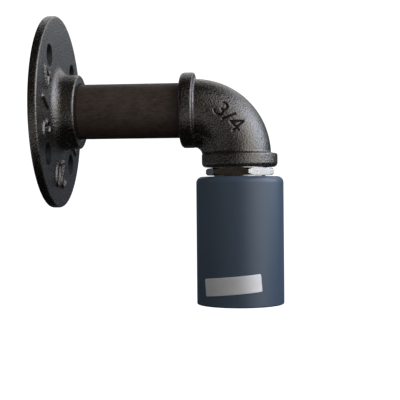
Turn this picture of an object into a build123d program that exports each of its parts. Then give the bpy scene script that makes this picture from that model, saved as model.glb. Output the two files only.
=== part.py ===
from build123d import *
import math
import os

# Industrial pipe wall light. A cast floor flange carries a short steel pipe, a banded
# elbow turns the pipe down, and a plated bush hangs a metal lamp cup from the elbow.
# The cup holds a porcelain screw lampholder, wired through the hollow pipe.
#
# Frame: the origin is the centre of the flange's back face, which lies on the wall.
# +X runs out of the wall along the pipe, and +Z is up. All sizes are in millimetres.

os.makedirs("parts", exist_ok=True)

# ---------------------------------------------------------------------------------
# Fits
# ---------------------------------------------------------------------------------
thread_clearance = 0.05  # radial play of a screwed joint, modelled as plain cylinders
hole_clearance = 0.25  # radial play of a plain hole round a screw or a tube
slip_clearance = 0.05  # radial play of a sleeve crimped or pressed round a wire

# ---------------------------------------------------------------------------------
# Wall flange
# ---------------------------------------------------------------------------------
flange_radius = 47.0
flange_thickness = 4.3
flange_edge_round = 0.9
hub_wall = 4.95  # outside the pipe's thread
hub_length = 10.3  # how far the hub stands out of the flange's face
hub_cove = 5.0
hub_edge_round = 1.1
hub_mouth_chamfer = 0.7
wall_screw_count = 4
wall_screw_circle_radius = 33.0
wall_screw_first_angle = 40.0  # from +Y towards +Z
wall_screw_hole_radius = 3.3
wall_screw_sink_radius = 5.5

# ---------------------------------------------------------------------------------
# Pipe
# ---------------------------------------------------------------------------------
pipe_radius = 13.45
pipe_wall = 2.6
pipe_thread_cut = 0.25  # how far the thread is cut down from the pipe's outside
pipe_setback = 3.0  # the wall to the pipe's end inside the flange
pipe_visible_length = 49.7  # between the hub and the elbow
pipe_shoulder_gap = 0.3  # the plain pipe to the hub's and the elbow's end faces
pipe_end_chamfer = 0.6

# ---------------------------------------------------------------------------------
# Elbow
# ---------------------------------------------------------------------------------
elbow_socket_wall = 1.95  # outside the pipe's thread
elbow_wall = 3.2  # between the sockets
elbow_bend_radius = 22.0
elbow_inlet_straight = 6.3  # the inlet's face to the start of the bend
elbow_outlet_straight = 6.0  # the end of the bend to the outlet's face
band_rise = 3.2  # how far the band stands above the elbow's skin
band_width = 6.7
band_edge_round = 0.9
band_cove = 1.4
band_foot_length = 2.6  # the band's side to the end of its sloping foot
band_foot_rise = 0.2  # the foot starts this far above the elbow's skin
band_foot_dip = 0.7  # and ends this far under it
band_mouth_chamfer = 0.5
socket_depth = 12.0

# ---------------------------------------------------------------------------------
# Bush, washer and the hollow threaded tube
# ---------------------------------------------------------------------------------
bush_thread_length = 10.5
bush_gap = 0.5  # the elbow's face to the hexagon, where the thread shows
hex_grip = 1.8  # how far the hexagon's flats stand out from the thread
hex_thickness = 3.4
hex_turn = 17.3  # degrees, how far the bush happened to be screwed round
hex_corner_chamfer = 0.9
bush_wall = 4.2  # round the bush's pocket
bush_web = 7.0  # what the pocket leaves above the hexagon's lower face
washer_radius = 12.5
washer_thickness = 0.6
tube_radius = 5.0
tube_bore_radius = 3.9
tube_rise = 4.5  # how far the tube stands up in the bush's pocket
guard_bore_radius = 3.2
guard_flange_radius = 6.0
guard_flange_thickness = 1.2
guard_sleeve_length = 3.0

# ---------------------------------------------------------------------------------
# Lamp cup and its label
# ---------------------------------------------------------------------------------
cup_radius = 21.2
cup_height = 61.8
cup_wall = 1.5
cup_top_thickness = 2.0
cup_shoulder_round = 3.0
cup_inner_round = 1.6
cup_lip_round = 0.6
label_length = 29.2  # measured round the cup
label_height = 8.4
label_thickness = 0.12
label_gap = 0.02  # the film of glue
label_turn = -8.5  # degrees from the cup's -Y side towards +X
label_slope = 4.8
label_rise = 10.4  # the cup's lip to the label's middle

# ---------------------------------------------------------------------------------
# What hangs in the cup
# ---------------------------------------------------------------------------------
lock_washer_radius = 8.5
lock_washer_thickness = 0.8
lock_washer_teeth = 12
lock_washer_tooth_depth = 1.2
locknut_flats = 14.0
locknut_thickness = 3.0
locknut_corner_chamfer = 0.5
tag_ring_radius = 8.0
tag_thickness = 0.8
tag_arm_width = 3.6
tag_reach = 13.2  # the tube's axis to the crimp barrel's axis
tag_direction = 50.0  # degrees from +X towards +Y
tag_barrel_wall = 0.5
tag_barrel_length = 5.6
tag_barrel_roof = 1.6
bridge_width = 9.0
bridge_thickness = 1.2
bridge_leg_gap = 0.4  # a bracket screw's head to the leg beside it
bridge_height = 12.9
bridge_foot_margin = 2.9  # a bracket screw's axis to the foot's end
bridge_collar_radius = 6.6
bridge_collar_length = 2.0
bridge_bend_round = 1.5
tube_tail = 0.7  # how far the tube comes out of the bridge's collar

# ---------------------------------------------------------------------------------
# Porcelain body and its metalwork
# ---------------------------------------------------------------------------------
porcelain_gap = 0.8  # the cup's inside to the porcelain
porcelain_step = 1.4  # how far the neck is set in from the body
porcelain_neck_height = 9.0
porcelain_height = 39.0
porcelain_floor_thickness = 9.0
porcelain_glaze_round = 0.8
porcelain_mouth_chamfer = 1.6
shell_socket_clearance = 0.3
shell_thread_radius = 13.3
shell_neck_radius = 12.8
shell_neck_length = 5.8
shell_wall = 0.5
shell_base_ring = 0.5
shell_tab_width = 14.6
shell_tab_edge = 5.9  # the holder's axis to the tab's inner edge
shell_lip_flare = 0.6

small_screw_radius = 1.5
small_head_radius = 2.5
small_head_height = 1.6
small_slot_width = 0.7
small_slot_depth = 0.8
insert_radius = 2.2
insert_length = 6.5
insert_seat_depth = 7.0
insert_edge = 3.6  # an insert's axis to the neck's edge
bracket_screw_length = 6.0

terminal_gap = 6.8  # the holder's axis to a terminal's inner face
terminal_length = 7.4
terminal_height = 6.2
live_terminal_width = 8.0
neutral_terminal_width = 15.0
terminal_edge_round = 0.4
terminal_wire_height = 3.4  # the porcelain's top to the wire hole's axis
terminal_wire_hole_radius = 1.0
clamp_screw_offset = 11.9
clamp_screw_head_gap = 0.9
screw_tip_gap = 0.05
contact_screw_offset = 8.6
contact_screw_bite = 2.0  # how far the screw enters the live terminal
shell_screw_side = 4.3
shell_screw_offset = 8.8
shell_screw_bite = 4.0

leaf_width = 6.0
leaf_thickness = 0.5
leaf_play = 0.4  # above and below the leaf's root, so that it can rock
leaf_root_outer = 10.9  # from the holder's axis
leaf_root_inner = 5.3
leaf_drop = 4.0
leaf_tip_start = 1.5
leaf_tip_end = 2.2
leaf_curl = 1.2
leaf_bend_round = 0.7
leaf_hole_play = 0.45
leaf_dimple_radius = 1.5
leaf_dimple_height = 0.4

# ---------------------------------------------------------------------------------
# Wires
# ---------------------------------------------------------------------------------
wire_radius = 1.1
wire_spacing = 1.62  # the bundle's axis to each wire's axis
wire_bend_radius = 19.0  # of the bundle's axis in the elbow
wire_foot_bend = 2.6  # where a wire turns out of the tube towards its terminal
earth_foot_bend = 4.0
earth_rise_bend = 3.0
earth_run_depth = 10.0  # the locknut's lower face to the earth wire's lowest run
wire_setback = 8.0  # the wall to the end of the live wire's insulation
wire_stagger = 5.0  # how much further back each next wire ends
wire_terminal_gap = 1.2  # a terminal's inner face to the end of the insulation
wire_barrel_bite = 3.6  # how far the earth wire enters its crimp barrel
pin_radius = 0.75
pin_length = 7.0
pin_terminal_length = 6.4
collar_wall = 0.4
collar_length = 3.0
collar_terminal_length = 1.4
collar_lip = 0.6

# ---------------------------------------------------------------------------------
# Places that follow from the sizes above
# ---------------------------------------------------------------------------------
pipe_bore_radius = pipe_radius - pipe_wall
pipe_thread_radius = pipe_radius - pipe_thread_cut
pipe_thread_bore = pipe_thread_radius + thread_clearance
hub_radius = pipe_thread_bore + hub_wall
elbow_body_radius = pipe_thread_bore + elbow_socket_wall
elbow_waterway_radius = elbow_body_radius - elbow_wall
hex_flats = 2 * (pipe_thread_radius + hex_grip)
bush_pocket_radius = pipe_thread_radius - bush_wall

hub_end_x = flange_thickness + hub_length
elbow_face_x = hub_end_x + pipe_visible_length
pipe_end_x = elbow_face_x + socket_depth - pipe_end_chamfer
lamp_x = elbow_face_x + elbow_inlet_straight + elbow_bend_radius
elbow_outlet_z = -(elbow_bend_radius + elbow_outlet_straight)

hex_top_z = elbow_outlet_z - bush_gap
hex_bottom_z = hex_top_z - hex_thickness
bush_top_z = hex_top_z + bush_thread_length
bush_web_z = hex_bottom_z + bush_web
cup_top_z = hex_bottom_z - washer_thickness
cup_bottom_z = cup_top_z - cup_height
cup_ceiling_z = cup_top_z - cup_top_thickness
tube_top_z = bush_web_z + tube_rise

lock_washer_z = cup_ceiling_z - lock_washer_thickness
tag_z = lock_washer_z - tag_thickness
locknut_z = tag_z - locknut_thickness
bridge_collar_z = locknut_z - bridge_thickness - bridge_collar_length
tube_bottom_z = bridge_collar_z - tube_tail

porcelain_top_z = locknut_z - bridge_height
porcelain_bottom_z = porcelain_top_z - porcelain_height
holder_floor_z = porcelain_top_z - porcelain_floor_thickness
shell_step_z = holder_floor_z - shell_neck_length
shell_lip_z = porcelain_bottom_z + porcelain_mouth_chamfer
terminal_top_z = porcelain_top_z + terminal_height
terminal_wire_z = porcelain_top_z + terminal_wire_height
leaf_root_z = holder_floor_z - leaf_play - leaf_thickness / 2

tube_thread_bore = tube_radius + thread_clearance
tube_hole_radius = tube_radius + hole_clearance
small_hole_radius = small_screw_radius + hole_clearance

band_radius = elbow_body_radius + band_rise
cup_bore_radius = cup_radius - cup_wall
porcelain_radius = cup_bore_radius - porcelain_gap
porcelain_neck_radius = porcelain_radius - porcelain_step
bracket_screw_offset = porcelain_neck_radius - insert_edge
bridge_half_span = bracket_screw_offset - small_head_radius - bridge_leg_gap

pipe_axis = Axis((0, 0, 0), (1, 0, 0))
lamp_axis = Axis((lamp_x, 0, 0), (0, 0, 1))
pipe_section = Plane.XY  # x along the pipe, y away from its axis
lamp_section = Plane(origin=(lamp_x, 0, 0), x_dir=(1, 0, 0), z_dir=(0, -1, 0))


def lamp_level(z):
    """A level plane across the lamp's axis, with its x and y along the part's own."""
    return Plane(origin=(lamp_x, 0, z), x_dir=(1, 0, 0), z_dir=(0, 0, 1))


def corner(sketch, x, y):
    """The corner of a sketch that lies nearest to x, y in the sketch's own plane."""
    return sketch.vertices().sort_by_distance((x, y, 0))[0]


def finish_part(piece, name):
    """Label a finished piece and write its file."""
    piece.label = name
    export_step(piece, f"parts/{name}.step")


def hexagon_blank(corner_radius, low_z, high_z, corner_chamfer):
    """The turned disc that a hexagon is milled from, bevelled at 30 degrees on both rims."""
    with BuildPart() as blank:
        with BuildSketch(lamp_section) as blank_profile:
            with BuildLine():
                Polyline(
                    (0, low_z), (corner_radius, low_z), (corner_radius, high_z), (0, high_z), close=True
                )
            make_face()
            for rim_z, inward in ((low_z, corner_chamfer), (high_z, -corner_chamfer)):
                with BuildLine():
                    Polyline(
                        (corner_radius, rim_z),
                        (corner_radius - corner_chamfer * math.sqrt(3), rim_z),
                        (corner_radius, rim_z + inward),
                        close=True,
                    )
                make_face(mode=Mode.SUBTRACT)
        revolve(axis=lamp_axis)
    return blank.part


def cheese_screw(shank_length):
    """A small slotted screw, its head's seat at the origin and its shank pointing down."""
    with BuildPart() as screw:
        with BuildSketch():
            Circle(small_head_radius)
        extrude(amount=small_head_height)
        chamfer(screw.faces().sort_by(Axis.Z)[-1].edges(), small_slot_width / 3)
        with BuildSketch(Plane.XY.offset(small_head_height)):
            Rectangle(3 * small_head_radius, small_slot_width)
        extrude(amount=-small_slot_depth, mode=Mode.SUBTRACT)
        with BuildSketch():
            Circle(small_screw_radius)
        extrude(amount=-shank_length)
        chamfer(screw.faces().sort_by(Axis.Z)[0].edges(), small_slot_width / 3)
    return screw.part


# ---------------------------------------------------------------------------------
# wall_flange: a disc and a hub in one casting, bored right through for the pipe
# ---------------------------------------------------------------------------------
with BuildPart() as wall_flange:
    with BuildSketch(pipe_section) as flange_profile:
        with BuildLine():
            Polyline(
                (0, pipe_thread_bore),
                (0, flange_radius),
                (flange_thickness, flange_radius),
                (flange_thickness, hub_radius),
                (hub_end_x, hub_radius),
                (hub_end_x, pipe_thread_bore),
                close=True,
            )
        make_face()
        fillet(corner(flange_profile, flange_thickness, hub_radius), hub_cove)
        fillet(corner(flange_profile, 0, flange_radius), flange_edge_round)
        fillet(corner(flange_profile, flange_thickness, flange_radius), flange_edge_round)
        fillet(corner(flange_profile, hub_end_x, hub_radius), hub_edge_round)
        chamfer(corner(flange_profile, hub_end_x, pipe_thread_bore), hub_mouth_chamfer)
    revolve(axis=pipe_axis)
    with Locations(Plane.YZ.offset(flange_thickness)):
        with PolarLocations(
            wall_screw_circle_radius, wall_screw_count, start_angle=wall_screw_first_angle
        ):
            CounterSinkHole(wall_screw_hole_radius, wall_screw_sink_radius, counter_sink_angle=90)
finish_part(wall_flange.part, "wall_flange")

# ---------------------------------------------------------------------------------
# pipe_nipple: plain in the middle, cut down for its threads at both ends
# ---------------------------------------------------------------------------------
with BuildPart() as pipe_nipple:
    with BuildSketch(pipe_section) as pipe_profile:
        with BuildLine():
            Polyline(
                (pipe_setback, pipe_bore_radius),
                (pipe_setback, pipe_thread_radius),
                (hub_end_x + pipe_shoulder_gap, pipe_thread_radius),
                (hub_end_x + pipe_shoulder_gap, pipe_radius),
                (elbow_face_x - pipe_shoulder_gap, pipe_radius),
                (elbow_face_x - pipe_shoulder_gap, pipe_thread_radius),
                (pipe_end_x, pipe_thread_radius),
                (pipe_end_x, pipe_bore_radius),
                close=True,
            )
        make_face()
        chamfer(corner(pipe_profile, pipe_setback, pipe_thread_radius), pipe_end_chamfer)
        chamfer(corner(pipe_profile, pipe_end_x, pipe_thread_radius), pipe_end_chamfer)
    revolve(axis=pipe_axis)
finish_part(pipe_nipple.part, "pipe_nipple")

# ---------------------------------------------------------------------------------
# pipe_elbow: a round bend with a raised band round each mouth, and a socket in each
# ---------------------------------------------------------------------------------
inlet_section = Plane(origin=(elbow_face_x, 0, 0), x_dir=(1, 0, 0), z_dir=(0, 0, 1))
outlet_section = Plane(origin=(lamp_x, 0, elbow_outlet_z), x_dir=(0, 0, 1), z_dir=(0, 1, 0))
inlet_mouth = Plane(origin=(elbow_face_x, 0, 0), z_dir=(1, 0, 0))

with BuildPart() as pipe_elbow:
    with BuildLine() as elbow_centre:
        FilletPolyline(
            (elbow_face_x, 0, 0),
            (lamp_x, 0, 0),
            (lamp_x, 0, elbow_outlet_z),
            radius=elbow_bend_radius,
        )
    with BuildSketch(inlet_mouth):
        Circle(elbow_body_radius)
    sweep(path=elbow_centre.line)
    for section, axis in ((inlet_section, pipe_axis), (outlet_section, lamp_axis)):
        with BuildSketch(section) as band_profile:
            with BuildLine():
                Polyline(
                    (0, 0),
                    (0, band_radius),
                    (band_width, band_radius),
                    (band_width, elbow_body_radius + band_foot_rise),
                    (band_width + band_foot_length, elbow_body_radius - band_foot_dip),
                    (band_width + band_foot_length, 0),
                    close=True,
                )
            make_face()
            fillet(corner(band_profile, 0, band_radius), band_edge_round)
            fillet(corner(band_profile, band_width, band_radius), band_edge_round)
            fillet(corner(band_profile, band_width, elbow_body_radius + band_foot_rise), band_cove)
        revolve(axis=axis)
    with BuildSketch(inlet_mouth):
        Circle(elbow_waterway_radius)
    sweep(path=elbow_centre.line, mode=Mode.SUBTRACT)
    for section, axis in ((inlet_section, pipe_axis), (outlet_section, lamp_axis)):
        with BuildSketch(section) as socket_profile:
            with BuildLine():
                Polyline(
                    (0, 0),
                    (0, pipe_thread_bore + band_mouth_chamfer),
                    (band_mouth_chamfer, pipe_thread_bore),
                    (socket_depth, pipe_thread_bore),
                    (socket_depth, 0),
                    close=True,
                )
            make_face()
        revolve(axis=axis, mode=Mode.SUBTRACT)
finish_part(pipe_elbow.part, "pipe_elbow")

# ---------------------------------------------------------------------------------
# hex_bush: a reducing bush, a hexagon below and a pipe thread above
# ---------------------------------------------------------------------------------
hex_corner_radius = hex_flats / math.sqrt(3)
hex_disc = hexagon_blank(hex_corner_radius, hex_bottom_z, hex_top_z, hex_corner_chamfer)
with BuildPart() as hex_bush:
    with BuildSketch(lamp_level(hex_bottom_z)):
        RegularPolygon(hex_corner_radius, side_count=6, rotation=hex_turn - 90)
    extrude(amount=hex_thickness)
    add(hex_disc, mode=Mode.INTERSECT)
    with BuildSketch(lamp_level(hex_top_z)):
        Circle(pipe_thread_radius)
    extrude(amount=bush_thread_length)
    chamfer(hex_bush.faces().sort_by(Axis.Z)[-1].edges(), pipe_end_chamfer)
    with BuildSketch(lamp_level(bush_web_z)):
        Circle(bush_pocket_radius)
    extrude(amount=bush_top_z - bush_web_z, mode=Mode.SUBTRACT)
    with BuildSketch(lamp_level(hex_bottom_z)):
        Circle(tube_thread_bore)
    extrude(amount=bush_web, mode=Mode.SUBTRACT)
finish_part(hex_bush.part, "hex_bush")

with BuildPart() as cup_washer:
    with BuildSketch(lamp_level(cup_top_z)):
        Circle(washer_radius)
        Circle(tube_hole_radius, mode=Mode.SUBTRACT)
    extrude(amount=washer_thickness)
finish_part(cup_washer.part, "cup_washer")

# ---------------------------------------------------------------------------------
# lamp_cup: a drawn cup, its top rounded into the side, with a hole for the tube
# ---------------------------------------------------------------------------------
with BuildPart() as lamp_cup:
    with BuildSketch(lamp_section) as cup_profile:
        with BuildLine():
            Polyline(
                (tube_hole_radius, cup_top_z),
                (cup_radius, cup_top_z),
                (cup_radius, cup_bottom_z),
                (cup_bore_radius, cup_bottom_z),
                (cup_bore_radius, cup_ceiling_z),
                (tube_hole_radius, cup_ceiling_z),
                close=True,
            )
        make_face()
        fillet(corner(cup_profile, cup_radius, cup_top_z), cup_shoulder_round)
        fillet(corner(cup_profile, cup_bore_radius, cup_ceiling_z), cup_inner_round)
        fillet(corner(cup_profile, cup_radius, cup_bottom_z), cup_lip_round)
        fillet(corner(cup_profile, cup_bore_radius, cup_bottom_z), cup_lip_round)
    revolve(axis=lamp_axis)
finish_part(lamp_cup.part, "lamp_cup")

# ---------------------------------------------------------------------------------
# foil_label: a thin curved patch, its outline cut from a thin ring round the cup
# ---------------------------------------------------------------------------------
label_inner_radius = cup_radius + label_gap
label_middle_z = cup_bottom_z + label_rise
label_half_angle = math.degrees(label_length / 2 / cup_radius)
label_half_width = cup_radius * math.sin(math.radians(label_half_angle))
label_half_rise = label_length / 2 * math.tan(math.radians(label_slope))
label_plane = Plane(
    origin=(lamp_x, 0, label_middle_z),
    x_dir=(math.cos(math.radians(label_turn)), math.sin(math.radians(label_turn)), 0),
    z_dir=(math.sin(math.radians(label_turn)), -math.cos(math.radians(label_turn)), 0),
)
with BuildPart() as foil_label:
    with BuildSketch(lamp_level(label_middle_z)):
        Circle(label_inner_radius + label_thickness)
        Circle(label_inner_radius, mode=Mode.SUBTRACT)
    extrude(amount=label_height, both=True)
    with BuildSketch(label_plane):
        with BuildLine():
            Polyline(
                (-label_half_width, -label_half_rise - label_height / 2),
                (label_half_width, label_half_rise - label_height / 2),
                (label_half_width, label_half_rise + label_height / 2),
                (-label_half_width, -label_half_rise + label_height / 2),
                close=True,
            )
        make_face()
    extrude(amount=2 * cup_radius, mode=Mode.INTERSECT)
finish_part(foil_label.part, "foil_label")

# ---------------------------------------------------------------------------------
# lamp_nipple and nipple_bushing: the hollow tube and the guard on its upper end
# ---------------------------------------------------------------------------------
with BuildPart() as lamp_nipple:
    with BuildSketch(lamp_level(tube_bottom_z)):
        Circle(tube_radius)
        Circle(tube_bore_radius, mode=Mode.SUBTRACT)
    extrude(amount=tube_top_z - tube_bottom_z)
finish_part(lamp_nipple.part, "lamp_nipple")

with BuildPart() as nipple_bushing:
    with BuildSketch(lamp_section) as guard_profile:
        with BuildLine():
            Polyline(
                (guard_bore_radius, tube_top_z - guard_sleeve_length),
                (tube_bore_radius - slip_clearance, tube_top_z - guard_sleeve_length),
                (tube_bore_radius - slip_clearance, tube_top_z),
                (guard_flange_radius, tube_top_z),
                (guard_flange_radius, tube_top_z + guard_flange_thickness),
                (guard_bore_radius, tube_top_z + guard_flange_thickness),
                close=True,
            )
        make_face()
        for guard_radius in (guard_flange_radius, guard_bore_radius):
            fillet(
                corner(guard_profile, guard_radius, tube_top_z + guard_flange_thickness),
                guard_flange_thickness / 3,
            )
    revolve(axis=lamp_axis)
finish_part(nipple_bushing.part, "nipple_bushing")

# ---------------------------------------------------------------------------------
# lock_washer, earth_tag and cup_locknut: what clamps the cup to the tube
# ---------------------------------------------------------------------------------
with BuildPart() as lock_washer:
    with BuildSketch(lamp_level(lock_washer_z)):
        Circle(lock_washer_radius)
        Circle(tube_hole_radius, mode=Mode.SUBTRACT)
        with PolarLocations(lock_washer_radius, lock_washer_teeth):
            Rectangle(2 * lock_washer_tooth_depth, lock_washer_tooth_depth, mode=Mode.SUBTRACT)
    extrude(amount=lock_washer_thickness)
finish_part(lock_washer.part, "lock_washer")

tag_angle = math.radians(tag_direction)
tag_barrel_bore = wire_radius + slip_clearance
tag_barrel_radius = tag_barrel_bore + tag_barrel_wall
tag_x = lamp_x + tag_reach * math.cos(tag_angle)
tag_y = tag_reach * math.sin(tag_angle)
tag_floor_z = tag_z - tag_barrel_roof - tag_barrel_length
with BuildPart() as earth_tag:
    with BuildSketch(lamp_level(tag_z)):
        Circle(tag_ring_radius)
        with Locations((tag_reach / 2 * math.cos(tag_angle), tag_reach / 2 * math.sin(tag_angle))):
            Rectangle(tag_reach, tag_arm_width, rotation=tag_direction)
        with Locations((tag_x - lamp_x, tag_y)):
            Circle(tag_arm_width / 2)
        Circle(tube_hole_radius, mode=Mode.SUBTRACT)
    extrude(amount=tag_thickness)
    with BuildSketch(Plane.XY.offset(tag_z)):
        with Locations((tag_x, tag_y)):
            Circle(tag_barrel_radius)
    extrude(amount=tag_floor_z - tag_z)
    with BuildSketch(Plane.XY.offset(tag_floor_z)):
        with Locations((tag_x, tag_y)):
            Circle(tag_barrel_bore)
    extrude(amount=tag_barrel_length, mode=Mode.SUBTRACT)
finish_part(earth_tag.part, "earth_tag")

locknut_corner_radius = locknut_flats / math.sqrt(3)
locknut_disc = hexagon_blank(locknut_corner_radius, locknut_z, tag_z, locknut_corner_chamfer)
with BuildPart() as cup_locknut:
    with BuildSketch(lamp_level(locknut_z)):
        RegularPolygon(locknut_corner_radius, side_count=6)
    extrude(amount=locknut_thickness)
    add(locknut_disc, mode=Mode.INTERSECT)
    with BuildSketch(lamp_level(locknut_z)):
        Circle(tube_thread_bore)
    extrude(amount=locknut_thickness, mode=Mode.SUBTRACT)
finish_part(cup_locknut.part, "cup_locknut")

# ---------------------------------------------------------------------------------
# holder_bracket: a strip bent into a bridge, with a threaded collar for the tube
# ---------------------------------------------------------------------------------
bridge_foot_end = bracket_screw_offset + bridge_foot_margin
bridge_leg_inner = bridge_half_span - bridge_thickness
with BuildPart() as holder_bracket:
    with BuildSketch(lamp_section) as bridge_profile:
        with BuildLine():
            Polyline(
                (-bridge_foot_end, porcelain_top_z),
                (-bridge_leg_inner, porcelain_top_z),
                (-bridge_leg_inner, locknut_z - bridge_thickness),
                (bridge_leg_inner, locknut_z - bridge_thickness),
                (bridge_leg_inner, porcelain_top_z),
                (bridge_foot_end, porcelain_top_z),
                (bridge_foot_end, porcelain_top_z + bridge_thickness),
                (bridge_half_span, porcelain_top_z + bridge_thickness),
                (bridge_half_span, locknut_z),
                (-bridge_half_span, locknut_z),
                (-bridge_half_span, porcelain_top_z + bridge_thickness),
                (-bridge_foot_end, porcelain_top_z + bridge_thickness),
                close=True,
            )
        make_face()
        for side in (-1, 1):
            fillet(corner(bridge_profile, side * bridge_half_span, locknut_z), bridge_bend_round)
    extrude(amount=bridge_width / 2, both=True)
    with BuildSketch(lamp_level(locknut_z - bridge_thickness)):
        Circle(bridge_collar_radius)
    extrude(amount=-bridge_collar_length)
    with BuildSketch(lamp_level(locknut_z)):
        Circle(tube_thread_bore)
    extrude(amount=bridge_collar_z - locknut_z, mode=Mode.SUBTRACT)
    with BuildSketch(lamp_level(porcelain_top_z)):
        with Locations((-bracket_screw_offset, 0), (bracket_screw_offset, 0)):
            Circle(small_hole_radius)
    extrude(amount=bridge_thickness, mode=Mode.SUBTRACT)
finish_part(holder_bracket.part, "holder_bracket")

# ---------------------------------------------------------------------------------
# porcelain_body: glazed porcelain, hollow below for the shell
# ---------------------------------------------------------------------------------
shell_socket_radius = shell_thread_radius + shell_wall + shell_socket_clearance
porcelain_step_z = porcelain_top_z - porcelain_neck_height
with BuildPart() as porcelain_body:
    with BuildSketch(lamp_section) as porcelain_profile:
        with BuildLine():
            Polyline(
                (0, porcelain_top_z),
                (porcelain_neck_radius, porcelain_top_z),
                (porcelain_neck_radius, porcelain_step_z),
                (porcelain_radius, porcelain_step_z),
                (porcelain_radius, porcelain_bottom_z),
                (shell_socket_radius, porcelain_bottom_z),
                (shell_socket_radius, holder_floor_z),
                (0, holder_floor_z),
                close=True,
            )
        make_face()
        for glaze_x, glaze_z in (
            (porcelain_neck_radius, porcelain_top_z),
            (porcelain_radius, porcelain_step_z),
            (porcelain_radius, porcelain_bottom_z),
        ):
            fillet(corner(porcelain_profile, glaze_x, glaze_z), porcelain_glaze_round)
        chamfer(
            corner(porcelain_profile, shell_socket_radius, porcelain_bottom_z),
            porcelain_mouth_chamfer,
        )
    revolve(axis=lamp_axis)
    with BuildSketch(lamp_level(porcelain_top_z)):
        with Locations((-bracket_screw_offset, 0), (bracket_screw_offset, 0)):
            Circle(insert_radius + slip_clearance)
    extrude(amount=-insert_seat_depth, mode=Mode.SUBTRACT)
    with BuildSketch(lamp_level(porcelain_top_z)):
        with Locations(
            (0, contact_screw_offset),
            (-shell_screw_side, -shell_screw_offset),
            (shell_screw_side, -shell_screw_offset),
        ):
            Circle(small_hole_radius)
    extrude(amount=-porcelain_floor_thickness, mode=Mode.SUBTRACT)
finish_part(porcelain_body.part, "porcelain_body")

with BuildPart() as bracket_inserts:
    with BuildSketch(lamp_level(porcelain_top_z)):
        with Locations((-bracket_screw_offset, 0), (bracket_screw_offset, 0)):
            Circle(insert_radius)
            Circle(small_screw_radius + thread_clearance, mode=Mode.SUBTRACT)
    extrude(amount=-insert_length)
finish_part(bracket_inserts.part, "bracket_inserts")

bracket_screw = cheese_screw(bracket_screw_length)
bracket_seat_z = porcelain_top_z + bridge_thickness
with BuildPart() as bracket_screws:
    with Locations(
        (lamp_x - bracket_screw_offset, 0, bracket_seat_z),
        (lamp_x + bracket_screw_offset, 0, bracket_seat_z),
    ):
        add(bracket_screw)
finish_part(bracket_screws.part, "bracket_screws")

# ---------------------------------------------------------------------------------
# screw_shell: a thin shell that the lamp screws into, open below, with a base tab
# ---------------------------------------------------------------------------------
shell_outer_radius = shell_thread_radius + shell_wall
shell_neck_outer = shell_neck_radius + shell_wall
shell_ring_radius = shell_neck_radius - shell_base_ring
with BuildPart() as screw_shell:
    with BuildSketch(lamp_section):
        with BuildLine():
            Polyline(
                (shell_ring_radius, holder_floor_z),
                (shell_neck_outer, holder_floor_z),
                (shell_neck_outer, shell_step_z),
                (shell_outer_radius, shell_step_z),
                (shell_outer_radius, shell_lip_z),
                (shell_outer_radius + shell_lip_flare, shell_lip_z - shell_lip_flare),
                (shell_thread_radius + shell_lip_flare, shell_lip_z - shell_lip_flare),
                (shell_thread_radius, shell_lip_z),
                (shell_thread_radius, shell_step_z - shell_wall),
                (shell_neck_radius, shell_step_z - shell_wall),
                (shell_neck_radius, holder_floor_z - shell_wall),
                (shell_ring_radius, holder_floor_z - shell_wall),
                close=True,
            )
        make_face()
    revolve(axis=lamp_axis)
    with BuildSketch(lamp_level(holder_floor_z)) as shell_tab:
        with Locations((0, -shell_tab_edge)):
            Rectangle(shell_tab_width, shell_neck_outer, align=(Align.CENTER, Align.MAX))
        Circle(shell_neck_outer, mode=Mode.INTERSECT)
        with Locations((-shell_screw_side, -shell_screw_offset), (shell_screw_side, -shell_screw_offset)):
            Circle(small_hole_radius, mode=Mode.SUBTRACT)
    extrude(amount=-shell_wall)
finish_part(screw_shell.part, "screw_shell")

shell_screw_rise = porcelain_floor_thickness + shell_wall + shell_screw_bite
shell_screw = cheese_screw(shell_screw_rise)
shell_screw_seat_z = holder_floor_z - shell_wall
with BuildPart() as shell_screws:
    with Locations(
        Location((lamp_x - shell_screw_side, -shell_screw_offset, shell_screw_seat_z), (180, 0, 0)),
        Location((lamp_x + shell_screw_side, -shell_screw_offset, shell_screw_seat_z), (180, 0, 0)),
    ):
        add(shell_screw)
finish_part(shell_screws.part, "shell_screws")

# ---------------------------------------------------------------------------------
# centre_contact: a bronze leaf, held by its root and sprung down to meet the lamp
# ---------------------------------------------------------------------------------
leaf_section = Plane(origin=(lamp_x, 0, leaf_root_z), x_dir=(0, 1, 0), z_dir=(1, 0, 0))
with BuildPart() as centre_contact:
    with BuildSketch(leaf_section):
        with BuildLine():
            FilletPolyline(
                (leaf_root_outer, 0),
                (leaf_root_inner, 0),
                (leaf_tip_start, -leaf_drop),
                (-leaf_tip_end, -leaf_drop),
                (-leaf_tip_end - leaf_curl, leaf_curl - leaf_drop),
                radius=leaf_bend_round,
            )
        trace(line_width=leaf_thickness)
    extrude(amount=leaf_width / 2, both=True)
    with BuildSketch(lamp_level(leaf_root_z - leaf_thickness)):
        with Locations((0, contact_screw_offset)):
            Circle(small_screw_radius + leaf_hole_play)
    extrude(amount=2 * leaf_thickness, mode=Mode.SUBTRACT)
    with BuildSketch(lamp_level(leaf_root_z - leaf_drop)):
        Circle(leaf_dimple_radius)
    extrude(amount=-leaf_thickness / 2 - leaf_dimple_height)
    fillet(centre_contact.faces().sort_by(Axis.Z)[0].edges(), leaf_dimple_height * 0.9)
finish_part(centre_contact.part, "centre_contact")

contact_seat_z = leaf_root_z - leaf_thickness / 2 - leaf_play
contact_screw_rise = porcelain_top_z + contact_screw_bite - contact_seat_z
with BuildPart() as contact_screw:
    with Locations(Location((lamp_x, contact_screw_offset, contact_seat_z), (180, 0, 0))):
        add(cheese_screw(contact_screw_rise))
finish_part(contact_screw.part, "contact_screw")

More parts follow.
